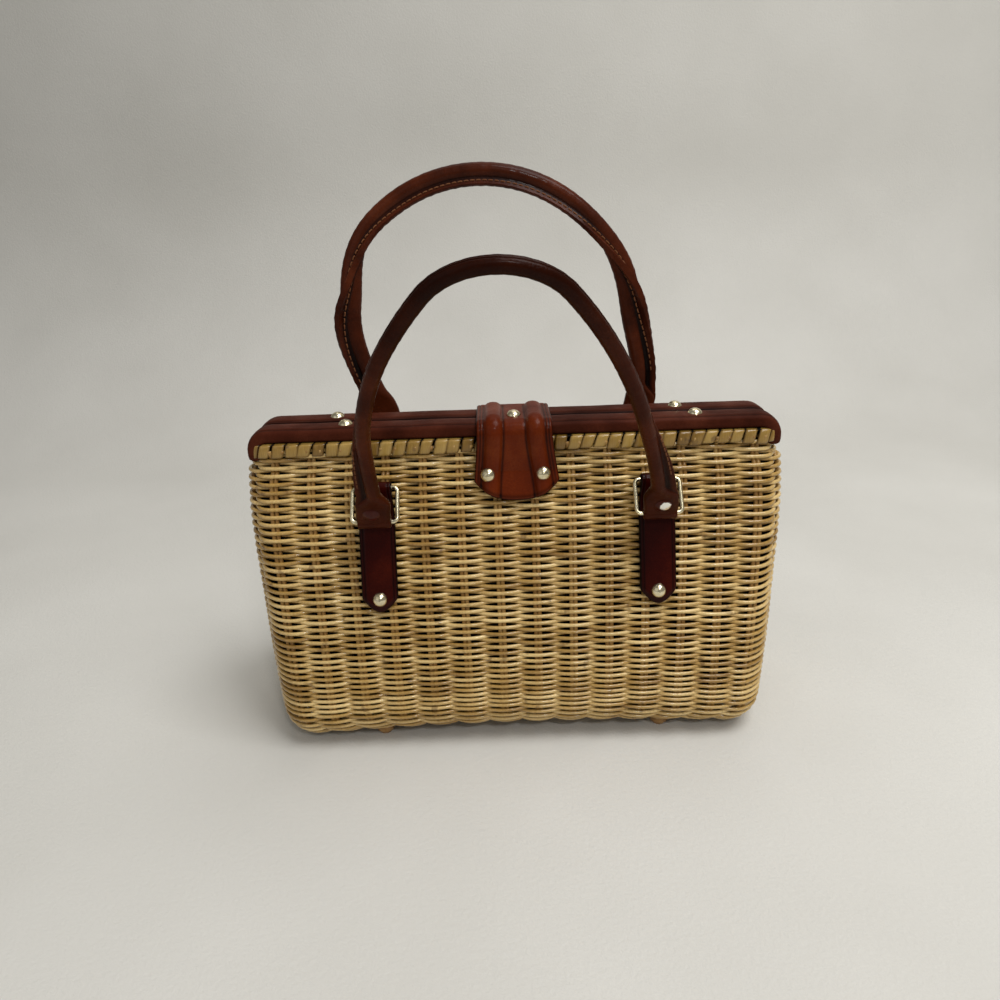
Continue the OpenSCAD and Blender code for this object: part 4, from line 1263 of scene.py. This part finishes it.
def stage_camera():
    """Camera looking down at its aim from the front, turned about its view."""
    s = props("stage")
    cam = bpy.data.cameras.new("camera")
    cam.sensor_width = 36.0
    cam.lens = s.lens
    ob = bpy.data.objects.new("camera", cam)
    forward = Vector((0, math.cos(s.pitch), -math.sin(s.pitch)))
    right = Vector((1, 0, 0))
    up = right.cross(forward)
    across = right * math.cos(s.roll) + up * math.sin(s.roll)
    upright = up * math.cos(s.roll) - right * math.sin(s.roll)
    place = Vector((s.aim_x, 0, s.aim_z)) * MM - forward * s.distance * MM
    axes = Matrix((across, upright, -forward)).transposed()
    ob.matrix_world = Matrix.Translation(place) @ axes.to_4x4()
    bpy.context.scene.collection.objects.link(ob)
    bpy.context.scene.camera = ob
    return ob


# Area lights: name, place, size and power.
LIGHTS = (
    ("key", (0.55, -0.35, 1.5), 0.8, 16.8),
    ("fill", (-1.1, -1.1, 0.9), 1.4, 2.5),
    ("back", (0.1, 0.55, 1.3), 0.9, 3.0),
    ("window", (0.25, -0.95, 0.95), 0.13, 2.8),
)


def stage_lights():
    """Area lights aimed at the bag, and an even pale surrounding."""
    lights = []
    aim = Vector((0, 0, 0.1))
    for name, place, size, power in LIGHTS:
        lamp = bpy.data.lights.new(name, "AREA")
        lamp.size = size
        lamp.energy = power
        ob = bpy.data.objects.new(name, lamp)
        ob.location = place
        ob.rotation_euler = (aim - Vector(place)).to_track_quat("-Z", "Y").to_euler()
        bpy.context.scene.collection.objects.link(ob)
        lights.append(ob)
    world = bpy.data.worlds.new("studio")
    world.use_nodes = True
    world.node_tree.nodes["Background"].inputs[0].default_value = (1.0, 0.985, 0.96, 1)
    world.node_tree.nodes["Background"].inputs[1].default_value = 0.24
    bpy.context.scene.world = world
    bpy.context.scene.view_settings.view_transform = "Standard"
    return lights


# add-on

class BAG_OT_weave(bpy.types.Operator):
    """Weavers, stakes and base of the body"""

    bl_idname = "bag.weave"
    bl_label = "Body Weave"

    def execute(self, context):
        build_body_weave()
        return {"FINISHED"}


class BAG_OT_halves(bpy.types.Operator):
    """Rows, stakes, binding and lip of the two mouth halves"""

    bl_idname = "bag.halves"
    bl_label = "Mouth Halves"

    def execute(self, context):
        build_half("front")
        build_half("back")
        return {"FINISHED"}


class BAG_OT_lining(bpy.types.Operator):
    """Black lining of the body"""

    bl_idname = "bag.lining"
    bl_label = "Lining"

    def execute(self, context):
        build_lining()
        return {"FINISHED"}


class BAG_OT_gussets(bpy.types.Operator):
    """Black cloth in the end slits"""

    bl_idname = "bag.gussets"
    bl_label = "Gussets"

    def execute(self, context):
        build_gussets()
        return {"FINISHED"}


class BAG_OT_bars(bpy.types.Operator):
    """Leather-covered bars"""

    bl_idname = "bag.bars"
    bl_label = "Bars"

    def execute(self, context):
        build_bars()
        return {"FINISHED"}


class BAG_OT_flap(bpy.types.Operator):
    """Clasp flap"""

    bl_idname = "bag.flap"
    bl_label = "Flap"

    def execute(self, context):
        build_flap()
        return {"FINISHED"}


class BAG_OT_tabs(bpy.types.Operator):
    """Handle tabs"""

    bl_idname = "bag.tabs"
    bl_label = "Tabs"

    def execute(self, context):
        build_tabs()
        return {"FINISHED"}


class BAG_OT_handles(bpy.types.Operator):
    """Rolled handles with their stitches"""

    bl_idname = "bag.handles"
    bl_label = "Handles"

    def execute(self, context):
        build_handle("front")
        build_handle("back")
        return {"FINISHED"}


class BAG_OT_fittings(bpy.types.Operator):
    """Finishes of domes, rings, caps and feet"""

    bl_idname = "bag.fittings"
    bl_label = "Fittings"

    def execute(self, context):
        dress_nodes()
        return {"FINISHED"}


class BAG_OT_stage(bpy.types.Operator):
    """Floor, camera and light"""

    bl_idname = "bag.stage"
    bl_label = "Stage"

    def execute(self, context):
        build_stage()
        return {"FINISHED"}


OPERATORS = (BAG_OT_weave, BAG_OT_halves, BAG_OT_lining, BAG_OT_gussets, BAG_OT_bars, BAG_OT_flap,
             BAG_OT_tabs, BAG_OT_handles, BAG_OT_fittings, BAG_OT_stage)
GROUPS = {"body": BagBodyProps, "weave": BagWeaveProps, "leather": BagLeatherProps,
          "finish": BagFinishProps, "stage": BagStageProps}


class BAG_PT_panel(bpy.types.Panel):
    """Sidebar with the building steps and the properties."""

    bl_label = "Basket Box Bag"
    bl_space_type = "VIEW_3D"
    bl_region_type = "UI"
    bl_category = "Bag"

    def draw(self, context):
        for cls in OPERATORS:
            self.layout.operator(cls.bl_idname)
        for name, group in GROUPS.items():
            box = self.layout.box()
            box.label(text=name.capitalize())
            for key in group.__annotations__:
                box.prop(getattr(context.scene, "bag_" + name), key)


def register():
    """Registers the property groups, operators and panel."""
    for name, cls in GROUPS.items():
        bpy.utils.register_class(cls)
        setattr(bpy.types.Scene, "bag_" + name, bpy.props.PointerProperty(type=cls))
    for cls in OPERATORS:
        bpy.utils.register_class(cls)
    bpy.utils.register_class(BAG_PT_panel)


def unregister():
    """Takes them out again."""
    bpy.utils.unregister_class(BAG_PT_panel)
    for cls in reversed(OPERATORS):
        bpy.utils.unregister_class(cls)
    for name, cls in GROUPS.items():
        delattr(bpy.types.Scene, "bag_" + name)
        bpy.utils.unregister_class(cls)


def main():
    """Builds every piece."""
    register()
    bpy.ops.bag.weave()
    bpy.ops.bag.halves()
    bpy.ops.bag.lining()
    bpy.ops.bag.gussets()
    bpy.ops.bag.bars()
    bpy.ops.bag.flap()
    bpy.ops.bag.tabs()
    bpy.ops.bag.handles()
    bpy.ops.bag.fittings()
    bpy.ops.bag.stage()


if __name__ == "__main__":
    main()
